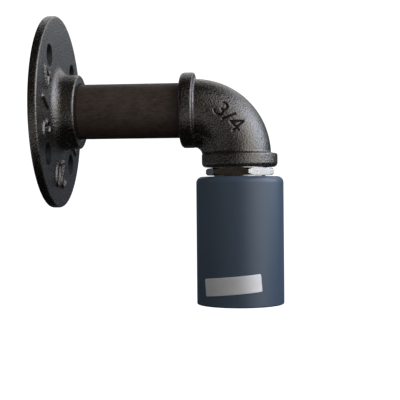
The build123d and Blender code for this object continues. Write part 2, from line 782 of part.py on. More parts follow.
# ---------------------------------------------------------------------------------
# The three wires lie round one axis, a third of a turn apart. A wire's side is its
# offset along Y, and its lift is its offset away from the inside of the bend.
# ---------------------------------------------------------------------------------
wire_lift = wire_spacing / 2
wire_side = wire_spacing * math.sqrt(3) / 2
terminal_wire_x = lamp_x - wire_lift

# ---------------------------------------------------------------------------------
# live_terminal and neutral_terminal: brass blocks on top of the porcelain
# ---------------------------------------------------------------------------------
terminal_middle = terminal_gap + terminal_length / 2
for name, facing, width, base_screws, bite in (
    ("live_terminal", 1, live_terminal_width, ((0, contact_screw_offset),), contact_screw_bite),
    (
        "neutral_terminal",
        -1,
        neutral_terminal_width,
        ((-shell_screw_side, -shell_screw_offset), (shell_screw_side, -shell_screw_offset)),
        shell_screw_bite,
    ),
):
    with BuildPart() as terminal:
        with BuildSketch(lamp_level(porcelain_top_z)):
            with Locations((0, facing * terminal_middle)):
                RectangleRounded(width, terminal_length, terminal_edge_round)
        extrude(amount=terminal_height)
        with BuildSketch(Plane(origin=(terminal_wire_x, 0, terminal_wire_z), z_dir=(0, facing, 0))):
            Circle(terminal_wire_hole_radius)
        extrude(amount=terminal_gap + 2 * terminal_length, mode=Mode.SUBTRACT)
        with BuildSketch(Plane.XY.offset(terminal_top_z)):
            with Locations((terminal_wire_x, facing * clamp_screw_offset)):
                Circle(small_screw_radius + thread_clearance)
        extrude(amount=terminal_wire_z - terminal_top_z, mode=Mode.SUBTRACT)
        with BuildSketch(lamp_level(porcelain_top_z)):
            with Locations(*base_screws):
                Circle(small_screw_radius + thread_clearance)
        extrude(amount=bite + thread_clearance, mode=Mode.SUBTRACT)
    finish_part(terminal.part, name)

clamp_seat_z = terminal_top_z + clamp_screw_head_gap
clamp_tip_z = terminal_wire_z + pin_radius + screw_tip_gap
clamp_screw = cheese_screw(clamp_seat_z - clamp_tip_z)
with BuildPart() as terminal_screws:
    with Locations(
        (terminal_wire_x, clamp_screw_offset, clamp_seat_z),
        (terminal_wire_x, -clamp_screw_offset, clamp_seat_z),
    ):
        add(clamp_screw)
finish_part(terminal_screws.part, "terminal_screws")

# ---------------------------------------------------------------------------------
# live_wire, neutral_wire and earth_wire: through the pipe, the bend and the tube
# ---------------------------------------------------------------------------------
wire_stop_y = terminal_gap - wire_terminal_gap
earth_run_z = locknut_z - earth_run_depth
earth_x = lamp_x + wire_spacing
wire_routes = (
    (
        "live_wire",
        (
            (wire_setback, wire_side, -wire_lift),
            (terminal_wire_x, wire_side, -wire_lift),
            (terminal_wire_x, wire_side, terminal_wire_z),
            (terminal_wire_x, wire_stop_y, terminal_wire_z),
        ),
        (wire_bend_radius - wire_lift, wire_foot_bend),
    ),
    (
        "neutral_wire",
        (
            (wire_setback + wire_stagger, -wire_side, -wire_lift),
            (terminal_wire_x, -wire_side, -wire_lift),
            (terminal_wire_x, -wire_side, terminal_wire_z),
            (terminal_wire_x, -wire_stop_y, terminal_wire_z),
        ),
        (wire_bend_radius - wire_lift, wire_foot_bend),
    ),
    (
        "earth_wire",
        (
            (wire_setback + 2 * wire_stagger, 0, wire_spacing),
            (earth_x, 0, wire_spacing),
            (earth_x, 0, earth_run_z),
            (tag_x, tag_y, earth_run_z),
            (tag_x, tag_y, tag_floor_z + wire_barrel_bite),
        ),
        (wire_bend_radius + wire_spacing, earth_foot_bend, earth_rise_bend),
    ),
)
for name, route, bends in wire_routes:
    with BuildPart() as wire:
        with BuildLine() as wire_centre:
            FilletPolyline(*route, radius=bends)
        with BuildSketch(Plane(origin=route[0], z_dir=(1, 0, 0))):
            Circle(wire_radius)
        sweep(path=wire_centre.line)
    wire_length = sum(edge.length for edge in wire_centre.edges())
    drawn_share = wire.part.volume / (math.pi * wire_radius**2 * wire_length)
    print(name, "length", round(wire_length, 1), "bends", bends, "volume share", round(drawn_share, 4))
    finish_part(wire.part, name)

# ---------------------------------------------------------------------------------
# ferrule_pins and ferrule_collars: crimped ends, three at the wall and two at the
# terminals. Each plane starts at the end of a wire's insulation and looks outwards.
# ---------------------------------------------------------------------------------
wall_ends = tuple(Plane(origin=route[0], z_dir=(-1, 0, 0)) for _, route, _ in wire_routes)
terminal_ends = tuple(
    Plane(origin=(terminal_wire_x, facing * wire_stop_y, terminal_wire_z), z_dir=(0, facing, 0))
    for facing in (1, -1)
)
with BuildPart() as ferrule_pins:
    with BuildSketch(*wall_ends):
        Circle(pin_radius)
    extrude(amount=pin_length)
    with BuildSketch(*terminal_ends):
        Circle(pin_radius)
    extrude(amount=pin_terminal_length)
finish_part(ferrule_pins.part, "ferrule_pins")

collar_bore = wire_radius + slip_clearance
with BuildPart() as ferrule_collars:
    for ends, length in ((wall_ends, collar_length), (terminal_ends, collar_terminal_length)):
        for end in ends:
            with BuildSketch(end.offset(-length)):
                Circle(collar_bore + collar_wall)
            extrude(amount=length + collar_lip)
            with BuildSketch(end.offset(-length)):
                Circle(collar_bore)
            extrude(amount=length, mode=Mode.SUBTRACT)
            with BuildSketch(end):
                Circle(pin_radius + slip_clearance)
            extrude(amount=collar_lip, mode=Mode.SUBTRACT)
finish_part(ferrule_collars.part, "ferrule_collars")
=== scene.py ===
# %% [markdown]
# # A wall light made of pipe fittings
# The real lamp is screwed together from plumber's parts: a cast floor flange on the wall, a short
# steel pipe, a banded elbow, and a metal cup with a porcelain lampholder that hangs from a plated bush.
# The solid model of every part is already packed. This lesson dresses it: it keeps the solids whose
# shape is right, builds finer meshes where the real surface has detail, and gives each one a finish
# made of shader nodes. It works in metres, with the wall at x = 0 and z pointing up.

# %% Load the frame
import math

import bmesh
import bpy
from mathutils import Matrix, Vector, kdtree, noise


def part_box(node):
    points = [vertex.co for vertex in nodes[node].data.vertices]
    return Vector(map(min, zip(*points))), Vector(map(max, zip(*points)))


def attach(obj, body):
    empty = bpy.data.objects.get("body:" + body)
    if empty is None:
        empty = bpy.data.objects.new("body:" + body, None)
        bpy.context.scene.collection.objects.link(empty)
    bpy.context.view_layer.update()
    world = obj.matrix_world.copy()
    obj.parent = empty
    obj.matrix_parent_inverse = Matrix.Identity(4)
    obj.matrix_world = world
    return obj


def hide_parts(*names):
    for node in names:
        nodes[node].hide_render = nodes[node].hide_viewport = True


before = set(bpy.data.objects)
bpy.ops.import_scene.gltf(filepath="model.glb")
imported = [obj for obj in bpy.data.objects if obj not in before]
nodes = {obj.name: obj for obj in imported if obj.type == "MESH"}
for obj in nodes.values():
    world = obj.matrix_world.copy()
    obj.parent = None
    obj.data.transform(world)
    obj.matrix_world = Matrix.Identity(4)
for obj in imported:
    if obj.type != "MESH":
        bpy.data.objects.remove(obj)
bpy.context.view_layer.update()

# %% [markdown]
# ## Sizes to build on
# A detail has to sit on the part that carries it.

# %% Sizes read from the parts
MM = 0.001
elbow_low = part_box("pipe_elbow")[0]
cup_low, cup_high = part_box("lamp_cup")
shell_low, shell_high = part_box("screw_shell")
tube_low, tube_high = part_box("lamp_nipple")
label_low, label_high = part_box("foil_label")
lamp_x = (cup_low.x + cup_high.x) / 2
cup_radius = (cup_high.x - cup_low.x) / 2
elbow_face_x = elbow_low.x
elbow_body_radius = 15.2 * MM
elbow_bend_radius = 22.0 * MM
bend_centre = Vector((lamp_x - elbow_bend_radius, 0, -elbow_bend_radius))
flange_face_x = 4.3 * MM
print("lamp axis at", round(lamp_x, 4), "cup radius", round(cup_radius, 4))
print("elbow starts at", round(elbow_face_x, 4))

# %% [markdown]
# ## The camera
# The picture was taken a little to the right of the lamp, from about half a metre, so the flange shows
# its face and the cup its front. The lens is long for the frame, which keeps the two ends of the pipe
# almost the same height. Turning the camera needs three angles: yaw, pitch and roll.

# %% Camera
image_pixels = 400
focal_pixels = 988.1
camera_place = Vector((0.1194, -0.480, -0.040))
yaw, pitch, roll = math.radians(-5.51), math.radians(-0.45), math.radians(-0.49)

forward = Vector((math.sin(yaw) * math.cos(pitch), math.cos(yaw) * math.cos(pitch), math.sin(pitch)))
level_right = Vector((math.cos(yaw), -math.sin(yaw), 0))
level_up = level_right.cross(forward)
camera_right = level_right * math.cos(roll) + level_up * math.sin(roll)
camera_up = camera_right.cross(forward)

camera_data = bpy.data.cameras.new("camera")
camera_data.sensor_width = 36.0
camera_data.lens = focal_pixels / image_pixels * camera_data.sensor_width
camera = bpy.data.objects.new("camera", camera_data)
bpy.context.scene.collection.objects.link(camera)
camera_turn = Matrix((camera_right, camera_up, -forward)).transposed().to_4x4()
camera.matrix_world = Matrix.Translation(camera_place) @ camera_turn
bpy.context.scene.camera = camera
print("lens", round(camera_data.lens, 1), "mm")

# %% [markdown]
# ## Helpers for meshes
# Six small helpers are used all through. The first spaces angles evenly, for everything that is bent or
# round. The next two put a mesh into the scene and build a mesh from points and faces. The fourth applies
# a piece's modifiers, so that its points can be moved one by one afterwards. The fifth makes a round tube
# along a line, because the raised figures on a casting are round ridges. The last one puts several meshes
# into one.

# %% Mesh helpers
def spaced_turns(first, last, steps):
    """Turns in radians, evenly spaced between two angles in degrees, with both ends."""
    return [math.radians(first + (last - first) * i / steps) for i in range(steps + 1)]


def link_piece(name, mesh):
    """Put a mesh into the scene as a piece."""
    piece = bpy.data.objects.new(name, mesh)
    bpy.context.scene.collection.objects.link(piece)
    return piece


def mesh_from(name, points, faces):
    """A smooth mesh from points and faces."""
    mesh = bpy.data.meshes.new(name)
    mesh.from_pydata([tuple(p) for p in points], [], faces)
    mesh.validate()
    mesh.polygons.foreach_set("use_smooth", [True] * len(mesh.polygons))
    return mesh


def apply_modifiers(piece):
    """Replace a piece's mesh by what its modifiers make of it."""
    depsgraph = bpy.context.evaluated_depsgraph_get()
    finished = bpy.data.meshes.new_from_object(piece.evaluated_get(depsgraph))
    piece.modifiers.clear()
    piece.data = finished


def tube_mesh(points, radius):
    """A closed round tube along a list of points."""
    curve = bpy.data.curves.new("stroke", "CURVE")
    curve.dimensions = "3D"
    curve.bevel_depth = radius
    curve.bevel_resolution = 3
    curve.use_fill_caps = True
    spline = curve.splines.new("POLY")
    spline.points.add(len(points) - 1)
    for place, point in zip(spline.points, points):
        place.co = (*point, 1)
    carrier = bpy.data.objects.new("stroke", curve)
    bpy.context.scene.collection.objects.link(carrier)
    bpy.context.view_layer.update()
    depsgraph = bpy.context.evaluated_depsgraph_get()
    mesh = bpy.data.meshes.new_from_object(carrier.evaluated_get(depsgraph))
    bpy.data.objects.remove(carrier)
    return mesh


def join_meshes(name, meshes):
    """One mesh that holds the closed shells of several."""
    joined = bmesh.new()
    for mesh in meshes:
        joined.from_mesh(mesh)
    result = bpy.data.meshes.new(name)
    joined.to_mesh(result)
    joined.free()
    return result


# %% [markdown]
# ## Figures on the castings
# Pipe fittings carry their nominal size in plain figures: raised on the flange, and sunk into the elbow.
# Each line of a figure has one width and round ends. So a figure is a few strokes in a square one unit
# high. One function lays the strokes on the casting, wherever its surface is, another turns them into
# raised ridges, and a last one puts more places along a stroke, for the sunk figures.

# %% Figures as strokes
def arc(centre, radius_x, radius_y, start, end, steps=14):
    """Places along a part of an ellipse, between two angles in degrees."""
    turns = spaced_turns(start, end, steps)
    return [(centre[0] + radius_x * math.cos(t), centre[1] + radius_y * math.sin(t)) for t in turns]


def line(start, end, steps=8):
    """Places along a straight stroke."""
    return [tuple(a + (b - a) * i / steps for a, b in zip(start, end)) for i in range(steps + 1)]


FIGURES = {
    "3": [arc((0, 0.24), 0.30, 0.26, 138, -75) + arc((0, -0.23), 0.33, 0.28, 75, -142)],
    "/": [line((-0.16, -0.46), (0.20, 0.46))],
    "4": [
        line((0.20, -0.50), (0.20, 0.50)),
        line((0.20, 0.50), (-0.40, -0.18)),
        line((-0.40, -0.18), (0.42, -0.18)),
    ],
    "2": [
        arc((0, 0.20), 0.31, 0.30, 165, -35)
        + line((0.25, 0.03), (-0.33, -0.5))
        + line((-0.33, -0.5), (0.34, -0.5))
    ],
    "0": [arc((0, 0), 0.33, 0.50, 90, 455, 28)],
}


def figure_routes(text, width, height, step, place_on):
    """The strokes of a line of figures, as places on the casting found by place_on."""
    routes = []
    for index, sign in enumerate(text):
        shift = (index - (len(text) - 1) / 2) * step
        for stroke in FIGURES[sign]:
            routes.append([place_on(shift + x * width, y * height) for x, y in stroke])
    return routes


def figure_strokes(text, width, height, step, place_on, radius):
    """Raised figures: a tube along each stroke."""
    return [tube_mesh(route, radius) for route in figure_routes(text, width, height, step, place_on)]


def finely(route, pieces=12):
    """A route with many more places along it."""
    runs = zip(route, route[1:])
    return [Vector(a).lerp(Vector(b), i / pieces) for a, b in runs for i in range(pieces + 1)]


print("figures:", " ".join(FIGURES))

# %% [markdown]
# ## Turning a solid into a casting
# A sand casting has no sharp edges and no truly flat face: the sand rounds every corner and leaves
# gentle waves. A voxel remesh melts the solid and the raised strokes into one skin of small even
# squares, and a little smoothing rounds what sand can't hold. Then every point is moved on its own: a
# slow noise shifts it by less than a tenth of a millimetre, and near a sunk figure it goes in deeper. The
# KD-tree tells how far the nearest groove is. The share of the groove is kept in the mesh as an
# attribute, which the finish reads later on. Bores and the face on the wall stay true, as they fit
# other parts.

# %% Casting helper
GROOVE_HALF_WIDTH = 0.54 * MM
GROOVE_DEPTH = 0.75 * MM
WAVE_LENGTH = 3.5 * MM
FINE_WAVE_SHARE, FINE_WAVE_SCALE = 0.6, 3.9
SOFTENING = 0.35


def cast(name, node, strokes, grooves, voxel, wave, is_fitted, soft_rounds=1, corner=lambda place: place):
    """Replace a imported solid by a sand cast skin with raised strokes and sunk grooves."""
    groove_places = [place for route in grooves for place in route]
    groove_tree = kdtree.KDTree(max(1, len(groove_places)))
    for index, place in enumerate(groove_places):
        groove_tree.insert(place, index)
    groove_tree.balance()
    piece = link_piece(name, join_meshes(name, [nodes[node].data] + strokes))
    remesh = piece.modifiers.new("one skin", "REMESH")
    remesh.mode = "VOXEL"
    remesh.voxel_size = voxel
    remesh.use_smooth_shade = True
    soften = piece.modifiers.new("soft corners", "SMOOTH")
    soften.factor = SOFTENING
    soften.iterations = soft_rounds
    apply_modifiers(piece)
    mesh = piece.data
    spots = [(vertex.co.copy(), vertex.normal.copy()) for vertex in mesh.vertices]
    moved, shares = [], []
    for place, normal in spots:
        place = corner(place)
        groove_share = 0.0
        if not is_fitted(place):
            spot = place / WAVE_LENGTH
            depth = wave * (noise.noise(spot) + FINE_WAVE_SHARE * noise.noise(spot * FINE_WAVE_SCALE))
            if groove_places:
                across = groove_tree.find(place)[2] / GROOVE_HALF_WIDTH
                groove_share = max(0.0, 1 - across**4)
            place = place + normal * (depth - GROOVE_DEPTH * groove_share)
        moved.extend(place)
        shares.append(groove_share)
    mesh.vertices.foreach_set("co", moved)
    mesh.attributes.new("groove", "FLOAT", "POINT").data.foreach_set("value", shares)
    mesh.update()
    print(name, "faces", len(mesh.polygons))
    return piece


# %% [markdown]
# ## The wall flange
# The flange carries 3/4 and 20, the size in inches and in millimetres, set round the hub. Seen from
# the front, a figure's foot points at the pipe. The strokes lie on the face, a good third of them in it.

# %% Cast flange
figure_ring = 31.0 * MM
stroke_radius = 0.85 * MM
stroke_lift = 0.20 * MM
casting_wave = 0.03 * MM
back_skin, flange_bore_radius = 0.3 * MM, 14.2 * MM


def on_flange(middle_angle):
    """Lays a figure on the flange's face, on a ring round the hub."""
    def place_on(along, up):
        turn = math.radians(middle_angle) - along / figure_ring
        reach = figure_ring + up
        return (flange_face_x + stroke_lift, reach * math.cos(turn), reach * math.sin(turn))
    return place_on


def fits_on_flange(place):
    """The face on the wall and the pipe's bore."""
    return place.x < back_skin or math.hypot(place.y, place.z) < flange_bore_radius


flange_figures = (
    figure_strokes("3/4", 12.0 * MM, 11.5 * MM, 12.6 * MM, on_flange(176), stroke_radius)
    + figure_strokes("20", 11.0 * MM, 12.0 * MM, 10.4 * MM, on_flange(266), stroke_radius)
    + figure_strokes("3/4", 12.0 * MM, 11.5 * MM, 12.6 * MM, on_flange(355), stroke_radius)
)
cast_flange = cast(
    "cast_flange", "wall_flange", flange_figures, [], 0.34 * MM, casting_wave, fits_on_flange, soft_rounds=2
)

# %% [markdown]
# ## The elbow
# The elbow is a quarter of a ring with a thick band round each mouth, where it is strongest against
# the pipe wrench. Its flank carries a sunk 3/4, read downwards along the bend. A point of the text is
# first laid flat in front of the bend, and then pushed back onto the round flank.
#
# Three details make it a casting. A mould has two halves, and the elbow keeps a fine seam along its
# back where they met. A web of metal fills the inner corner between the bands. And the outer corner of
# each mouth is drawn in to a wide round one.

# %% Cast elbow
band_radius = 18.4 * MM
mouth_bore_radius, mouth_depth = 14.0 * MM, 12.5 * MM
text_middle = Vector((bend_centre.x + 17.7 * MM, bend_centre.z + 18.0 * MM))
text_turn = math.radians(-46.0)
text_right = Vector((math.cos(text_turn), math.sin(text_turn)))
text_up = Vector((-text_right.y, text_right.x))


def on_elbow(along, up):
    """Lays a figure on the elbow's round flank."""
    flat = text_middle + text_right * along + text_up * up
    from_ring = (flat - Vector((bend_centre.x, bend_centre.z))).length - elbow_bend_radius
    depth = math.sqrt(elbow_body_radius**2 - from_ring**2)
    return (flat.x, -depth, flat.y)


def mould_seam():
    """A fine ridge along the back of the bend, almost all of it under the skin."""
    ridge_radius, ridge_height = 0.5 * MM, 0.14 * MM
    reach = elbow_bend_radius + elbow_body_radius - ridge_radius + ridge_height
    turns = spaced_turns(92, -2, 40)
    ridge = [bend_centre + Vector((math.cos(t), 0, math.sin(t))) * reach for t in turns]
    return tube_mesh(ridge, ridge_radius)


def crotch_web():
    """Metal that fills the inner corner between the two bands: a crescent pulled round the bend."""
    wall_radius, half_width, reach, overlap = 13.7 * MM, 11.6 * MM, 4.0 * MM, 0.2 * MM
    section = []
    for swing in spaced_turns(-90, 90, 16):
        across = half_width * math.sin(swing)
        under_skin = elbow_bend_radius - math.sqrt(wall_radius**2 - across**2)
        bulge = (elbow_bend_radius - wall_radius - reach) * math.cos(swing)
        section.append((across, under_skin, under_skin - bulge - overlap))
    profile = [(free_side, y) for y, under_skin, free_side in section]
    profile += [(under_skin, y) for y, under_skin, free_side in reversed(section)]
    turns = spaced_turns(-10, 100, 24)
    points = [
        bend_centre + Vector((math.cos(t) * r, y, math.sin(t) * r))
        for t in turns for r, y in profile
    ]
    count = len(profile)
    faces = []
    for row in range(0, (len(turns) - 1) * count, count):
        for i in range(count):
            beside = (i + 1) % count
            faces.append((row + i, row + beside, row + count + beside, row + count + i))
    faces += [tuple(range(count)), tuple(range(len(points) - 1, len(points) - 1 - count, -1))]
    return mesh_from("web", points, faces)


def round_mouths(place):
    """Pull the outer corner of both mouths in to a round one, as wide as corner_round."""
    corner_round = 2.1 * MM
    for axis, other, edge, centre_line in ((0, 2, elbow_face_x, 0.0), (2, 0, elbow_low.z, lamp_x)):
        sideways = place[other] - centre_line
        away = math.hypot(place.y, sideways)
        outward = away - (band_radius - corner_round)
        towards = edge + corner_round - place[axis]
        reach = math.hypot(outward, towards)
        if outward > 0 and towards > 0 and reach > corner_round:
            pull = corner_round / reach
            place = place.copy()
            new_away = band_radius - corner_round + outward * pull
            place.y *= new_away / away
            place[other] = centre_line + sideways * new_away / away
            place[axis] = edge + corner_round - towards * pull
    return place


def fits_in_elbow(place):
    """The threaded bores of both mouths."""
    from_pipe = math.hypot(place.y, place.z)
    from_lamp = math.hypot(place.x - lamp_x, place.y)
    in_inlet = place.x < elbow_face_x + mouth_depth and from_pipe < mouth_bore_radius
    in_outlet = place.z < elbow_low.z + mouth_depth and from_lamp < mouth_bore_radius
    return in_inlet or in_outlet


elbow_figures = [finely(route) for route in figure_routes("3/4", 6.6 * MM, 6.6 * MM, 5.2 * MM, on_elbow)]
cast_elbow = cast(
    "cast_elbow", "pipe_elbow", [mould_seam(), crotch_web()], elbow_figures, 0.30 * MM, casting_wave,
    fits_in_elbow, corner=round_mouths,
)

# %% [markdown]
# ## The rolled screw shell
# A lamp screws into a thin sheet shell with a rolled round thread. A screw modifier would sweep such a
# thread as a spiral, but its ends would stay ragged. So the wall is a level grid of points instead, and
# its radius follows a cosine that swings once in each pitch and turns with the angle. The thread fades
# out at both ends, where the rollers lift off, and the mouth flares a little. The neck above the thread
# is kept from the solid, cut off at a level.

# %% Screw shell
FADE_IN, FADE_OUT = 7, 9
FLARE_WIDTH, FLARE_SHARE = 0.6 * MM, 1 / 14


def rolled_wall(name, high_z, low_z, crest, groove, pitch, thickness, turn_steps=72, rows=120):
    """A thin wall with a rolled round thread, from high_z down to low_z."""
    points, faces = [], []
    for side_offset in (0.0, thickness):
        for row in range(rows + 1):
            share = row / rows
            z = high_z + (low_z - high_z) * share
            fade = min(1.0, share * FADE_IN, (1 - share) * FADE_OUT)
            for step in range(turn_steps):
                turn = 2 * math.pi * step / turn_steps
                swing = 0.5 + 0.5 * math.cos(2 * math.pi * (z / pitch) - turn)
                radius = groove - (groove - crest) * swing * fade + side_offset
                radius += FLARE_WIDTH * max(0.0, 1 - (1 - share) / FLARE_SHARE)
                points.append((lamp_x + radius * math.cos(turn), radius * math.sin(turn), z))
    layer = (rows + 1) * turn_steps
    for row in range(rows):
        for step in range(turn_steps):
            a = row * turn_steps + step
            b = row * turn_steps + (step + 1) % turn_steps
            faces.append((a, b, b + turn_steps, a + turn_steps))
            faces.append((layer + a, layer + a + turn_steps, layer + b + turn_steps, layer + b))
    for step in range(turn_steps):
        following = (step + 1) % turn_steps
        faces.append((step, layer + step, layer + following, following))
        end, end_next = rows * turn_steps + step, rows * turn_steps + following
        faces.append((end, end_next, layer + end_next, layer + end))
    return mesh_from(name, points, faces)


def upper_part(node, cut_z):
    """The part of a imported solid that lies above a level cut, closed again at the cut."""
    piece = bmesh.new()
    piece.from_mesh(nodes[node].data)
    bmesh.ops.remove_doubles(piece, verts=piece.verts, dist=1e-6)
    everything = piece.verts[:] + piece.edges[:] + piece.faces[:]
    cut = bmesh.ops.bisect_plane(
        piece, geom=everything, plane_co=(0, 0, cut_z), plane_no=(0, 0, -1), clear_outer=True
    )
    rim = [part for part in cut["geom_cut"] if isinstance(part, bmesh.types.BMEdge)]
    bmesh.ops.triangle_fill(piece, edges=rim, use_beauty=True)
    mesh = bpy.data.meshes.new(node + "_top")
    piece.to_mesh(mesh)
    piece.free()
    return mesh


shell_neck_z = shell_high.z - 5.0 * MM
thread_crest, thread_groove, thread_pitch, sheet_thickness = 12.25 * MM, 13.3 * MM, 3.629 * MM, 0.45 * MM
shell_wall = rolled_wall(
    "shell_wall", shell_neck_z, shell_low.z, thread_crest, thread_groove, thread_pitch, sheet_thickness
)
shell_neck = upper_part("screw_shell", shell_neck_z)
rolled_shell = link_piece("rolled_shell", join_meshes("rolled_shell", [shell_wall, shell_neck]))
print("rolled_shell faces", len(rolled_shell.data.polygons))

# %% [markdown]
# ## The threaded tube
# The hollow tube that hangs the cup has a fine M10 thread over its whole length. The same idea as for the
# shell makes it: the radius follows a V shape of one millimetre pitch, which turns with the angle. The
# tube hides inside, so four rows in each pitch are enough.

# %% Threaded tube
END_DIP = 0.3


def threaded_tube(name, low_z, high_z, crest, root, bore, pitch, turn_steps=40, rows_in_pitch=4):
    """A hollow tube with a V thread outside, which dips a little at both ends."""
    rows = int((high_z - low_z) / pitch * rows_in_pitch)
    points, faces = [], []
    for row in range(rows + 1):
        z = low_z + (high_z - low_z) * row / rows
        fade = min(1.0, (z - low_z) / pitch, (high_z - z) / pitch)
        for step in range(turn_steps):
            turn = 2 * math.pi * step / turn_steps
            phase = (z / pitch - turn / (2 * math.pi)) % 1.0
            dip = (1 - abs(2 * phase - 1)) + (1 - fade) * END_DIP
            radius = crest - (crest - root) * dip
            points.append((lamp_x + radius * math.cos(turn), radius * math.sin(turn), z))
    outer = len(points)
    for z in (low_z, high_z):
        for step in range(turn_steps):
            turn = 2 * math.pi * step / turn_steps
            points.append((lamp_x + bore * math.cos(turn), bore * math.sin(turn), z))
    for step in range(turn_steps):
        following = (step + 1) % turn_steps
        for row in range(rows):
            a, b = row * turn_steps + step, row * turn_steps + following
            faces.append((a, b, b + turn_steps, a + turn_steps))
        low_bore, low_next = outer + step, outer + following
        high_bore, high_next = low_bore + turn_steps, low_next + turn_steps
        faces.append((low_bore, high_bore, high_next, low_next))
        faces.append((step, low_bore, low_next, following))
        top, top_next = rows * turn_steps + step, rows * turn_steps + following
        faces.append((top, top_next, high_next, high_bore))
    return mesh_from(name, points, faces)


tube_crest, tube_root, tube_bore, tube_pitch = 5.0 * MM, 4.45 * MM, 3.9 * MM, 1.0 * MM
hanging_tube = link_piece(
    "hanging_tube",
    threaded_tube("hanging_tube", tube_low.z, tube_high.z, tube_crest, tube_root, tube_bore, tube_pitch),
)
print("hanging_tube faces", len(hanging_tube.data.polygons))

# %% [markdown]
# ## The foil label
# The label is a strip of thick silver foil, pressed on by hand a little askew. A flat grid is bent
# round the cup, its corners are rounded by a punch, and slow noise lets it lift a hair off the paint
# towards one corner.

# %% Foil label
label_length, label_height = 29.2 * MM, 8.4 * MM
label_turn, label_tilt = math.radians(-8.5), math.radians(5.2)
label_middle_z = (label_low.z + label_high.z) / 2
label_corner = 0.7 * MM
foil_under, foil_over = 0.02 * MM, 0.13 * MM
ripple_length, ripple_height = 2.2 * MM, 0.03 * MM
lift_from, lift_height = 0.72, 0.5 * MM


def foil_mesh(columns=120, rows=36):
    """A rounded strip bent round the cup, with an under and an upper side and a closed rim."""
    points, faces = [], []
    half_long, half_high = label_length / 2, label_height / 2
    for lift in (foil_under, foil_over):
        for row in range(rows + 1):
            for column in range(columns + 1):
                along = (2 * column / columns - 1) * half_long
                up = (2 * row / rows - 1) * half_high
                over = (abs(along) - half_long + label_corner, abs(up) - half_high + label_corner)
                if min(over) > 0 and math.hypot(*over) > label_corner:
                    pull = label_corner / math.hypot(*over)
                    along = math.copysign(half_long - label_corner + over[0] * pull, along)
                    up = math.copysign(half_high - label_corner + over[1] * pull, up)
                ripple = 0.5 + 0.5 * noise.noise(Vector((along, up, 0)) / ripple_length)
                corner_lift = max(0.0, along / half_long - lift_from) * max(0.0, up / half_high)
                reach = cup_radius + lift + ripple_height * ripple + lift_height * corner_lift**2
                level = along * math.cos(label_tilt) - up * math.sin(label_tilt)
                turn = level / cup_radius + label_turn
                z = label_middle_z + up * math.cos(label_tilt) + along * math.sin(label_tilt)
                points.append((lamp_x + reach * math.sin(turn), -reach * math.cos(turn), z))
    width = columns + 1
    layer = width * (rows + 1)
    for row in range(rows):
        for column in range(columns):
            a = row * width + column
            faces.append((a, a + width, a + width + 1, a + 1))
            faces.append((layer + a, layer + a + 1, layer + a + width + 1, layer + a + width))
    rim = list(range(width))
    rim += [r * width + columns for r in range(1, rows + 1)]
    rim += [rows * width + c for c in range(columns - 1, -1, -1)]
    rim += [r * width for r in range(rows - 1, 0, -1)]
    for here, there in zip(rim, rim[1:] + rim[:1]):
        faces.append((here, there, layer + there, layer + here))
    return mesh_from("silver_label", points, faces)


silver_label = link_piece("silver_label", foil_mesh())
print("silver_label faces", len(silver_label.data.polygons))

# %% [markdown]
# ## Effects as node groups
# An effect that several finishes share is built once as a node group with named sockets, like a
# function. Each material then places the group and sets its own values. The groups here give only
# numbers and colours: the shader itself stays in the material, where its plain values are easy to find.

# %% Helpers for node groups
def start_group(name, inputs, outputs):
    """A shader node group with float or colour sockets, as {name: default} and {name: kind}."""
    tree = bpy.data.node_groups.new(name, "ShaderNodeTree")
    for label, default in inputs.items():
        kind = "NodeSocketColor" if isinstance(default, tuple) else "NodeSocketFloat"
        socket = tree.interface.new_socket(name=label, in_out="INPUT", socket_type=kind)
        socket.default_value = default
    for label, kind in outputs.items():
        tree.interface.new_socket(name=label, in_out="OUTPUT", socket_type=kind)
    return tree, tree.nodes.new("NodeGroupInput"), tree.nodes.new("NodeGroupOutput")


def add_node(tree, kind, values=None, **settings):
    """A node with its settings and its input values; a socket as a value is linked."""
    node = tree.nodes.new(kind)
    for key, value in settings.items():
        setattr(node, key, value)
    for key, value in (values or {}).items():
        if isinstance(value, bpy.types.NodeSocket):
            tree.links.new(value, node.inputs[key])
        else:
            node.inputs[key].default_value = value
    return node


def maths(tree, operation, first, second=0.5, third=0.5, clamp=False):
    """The result of one sum on values or sockets."""
    terms = {0: first, 1: second, 2: third}
    return add_node(tree, "ShaderNodeMath", terms, operation=operation, use_clamp=clamp).outputs[0]


def spread(tree, value, low, high, to_low=0.0, to_high=1.0):
    """Map a value from one range to another, with soft ends."""
    ends = {"Value": value, "From Min": low, "From Max": high, "To Min": to_low, "To Max": to_high}
    return add_node(tree, "ShaderNodeMapRange", ends, interpolation_type="SMOOTHSTEP").outputs["Result"]


def blend_colours(tree, share, first, second):
    """Two colours, blended by a share from 0 to 1."""
    node = add_node(tree, "ShaderNodeMix", data_type="RGBA", blend_type="MIX")
    for index, value in ((0, share), (6, first), (7, second)):
        if isinstance(value, bpy.types.NodeSocket):
            tree.links.new(value, node.inputs[index])
        else:
            node.inputs[index].default_value = value
    return node.outputs[2]


def in_millimetres(tree):
    """The place on the piece, in millimetres of its own frame, so that it moves with the piece."""
    place = add_node(tree, "ShaderNodeTexCoord").outputs["Object"]
    scale = (1 / MM, 1 / MM, 1 / MM)
    return add_node(tree, "ShaderNodeVectorMath", {0: place, 1: scale}, operation="MULTIPLY").outputs[0]


def soft_noise(tree, place, scale, detail, roughness=0.5):
    """A noise from 0 to 1 over a place; scale is how often it changes in a millimetre."""
    values = {"Vector": place, "Scale": scale, "Detail": detail, "Roughness": roughness}
    return add_node(tree, "ShaderNodeTexNoise", values).outputs[0]


# %% [markdown]
# **Sand grain.** Moulding sand leaves a skin of tiny lumps and pits, about a third of a millimetre across.
# Two noises of different size give the lumps, and a cell pattern gives scattered deeper pits.

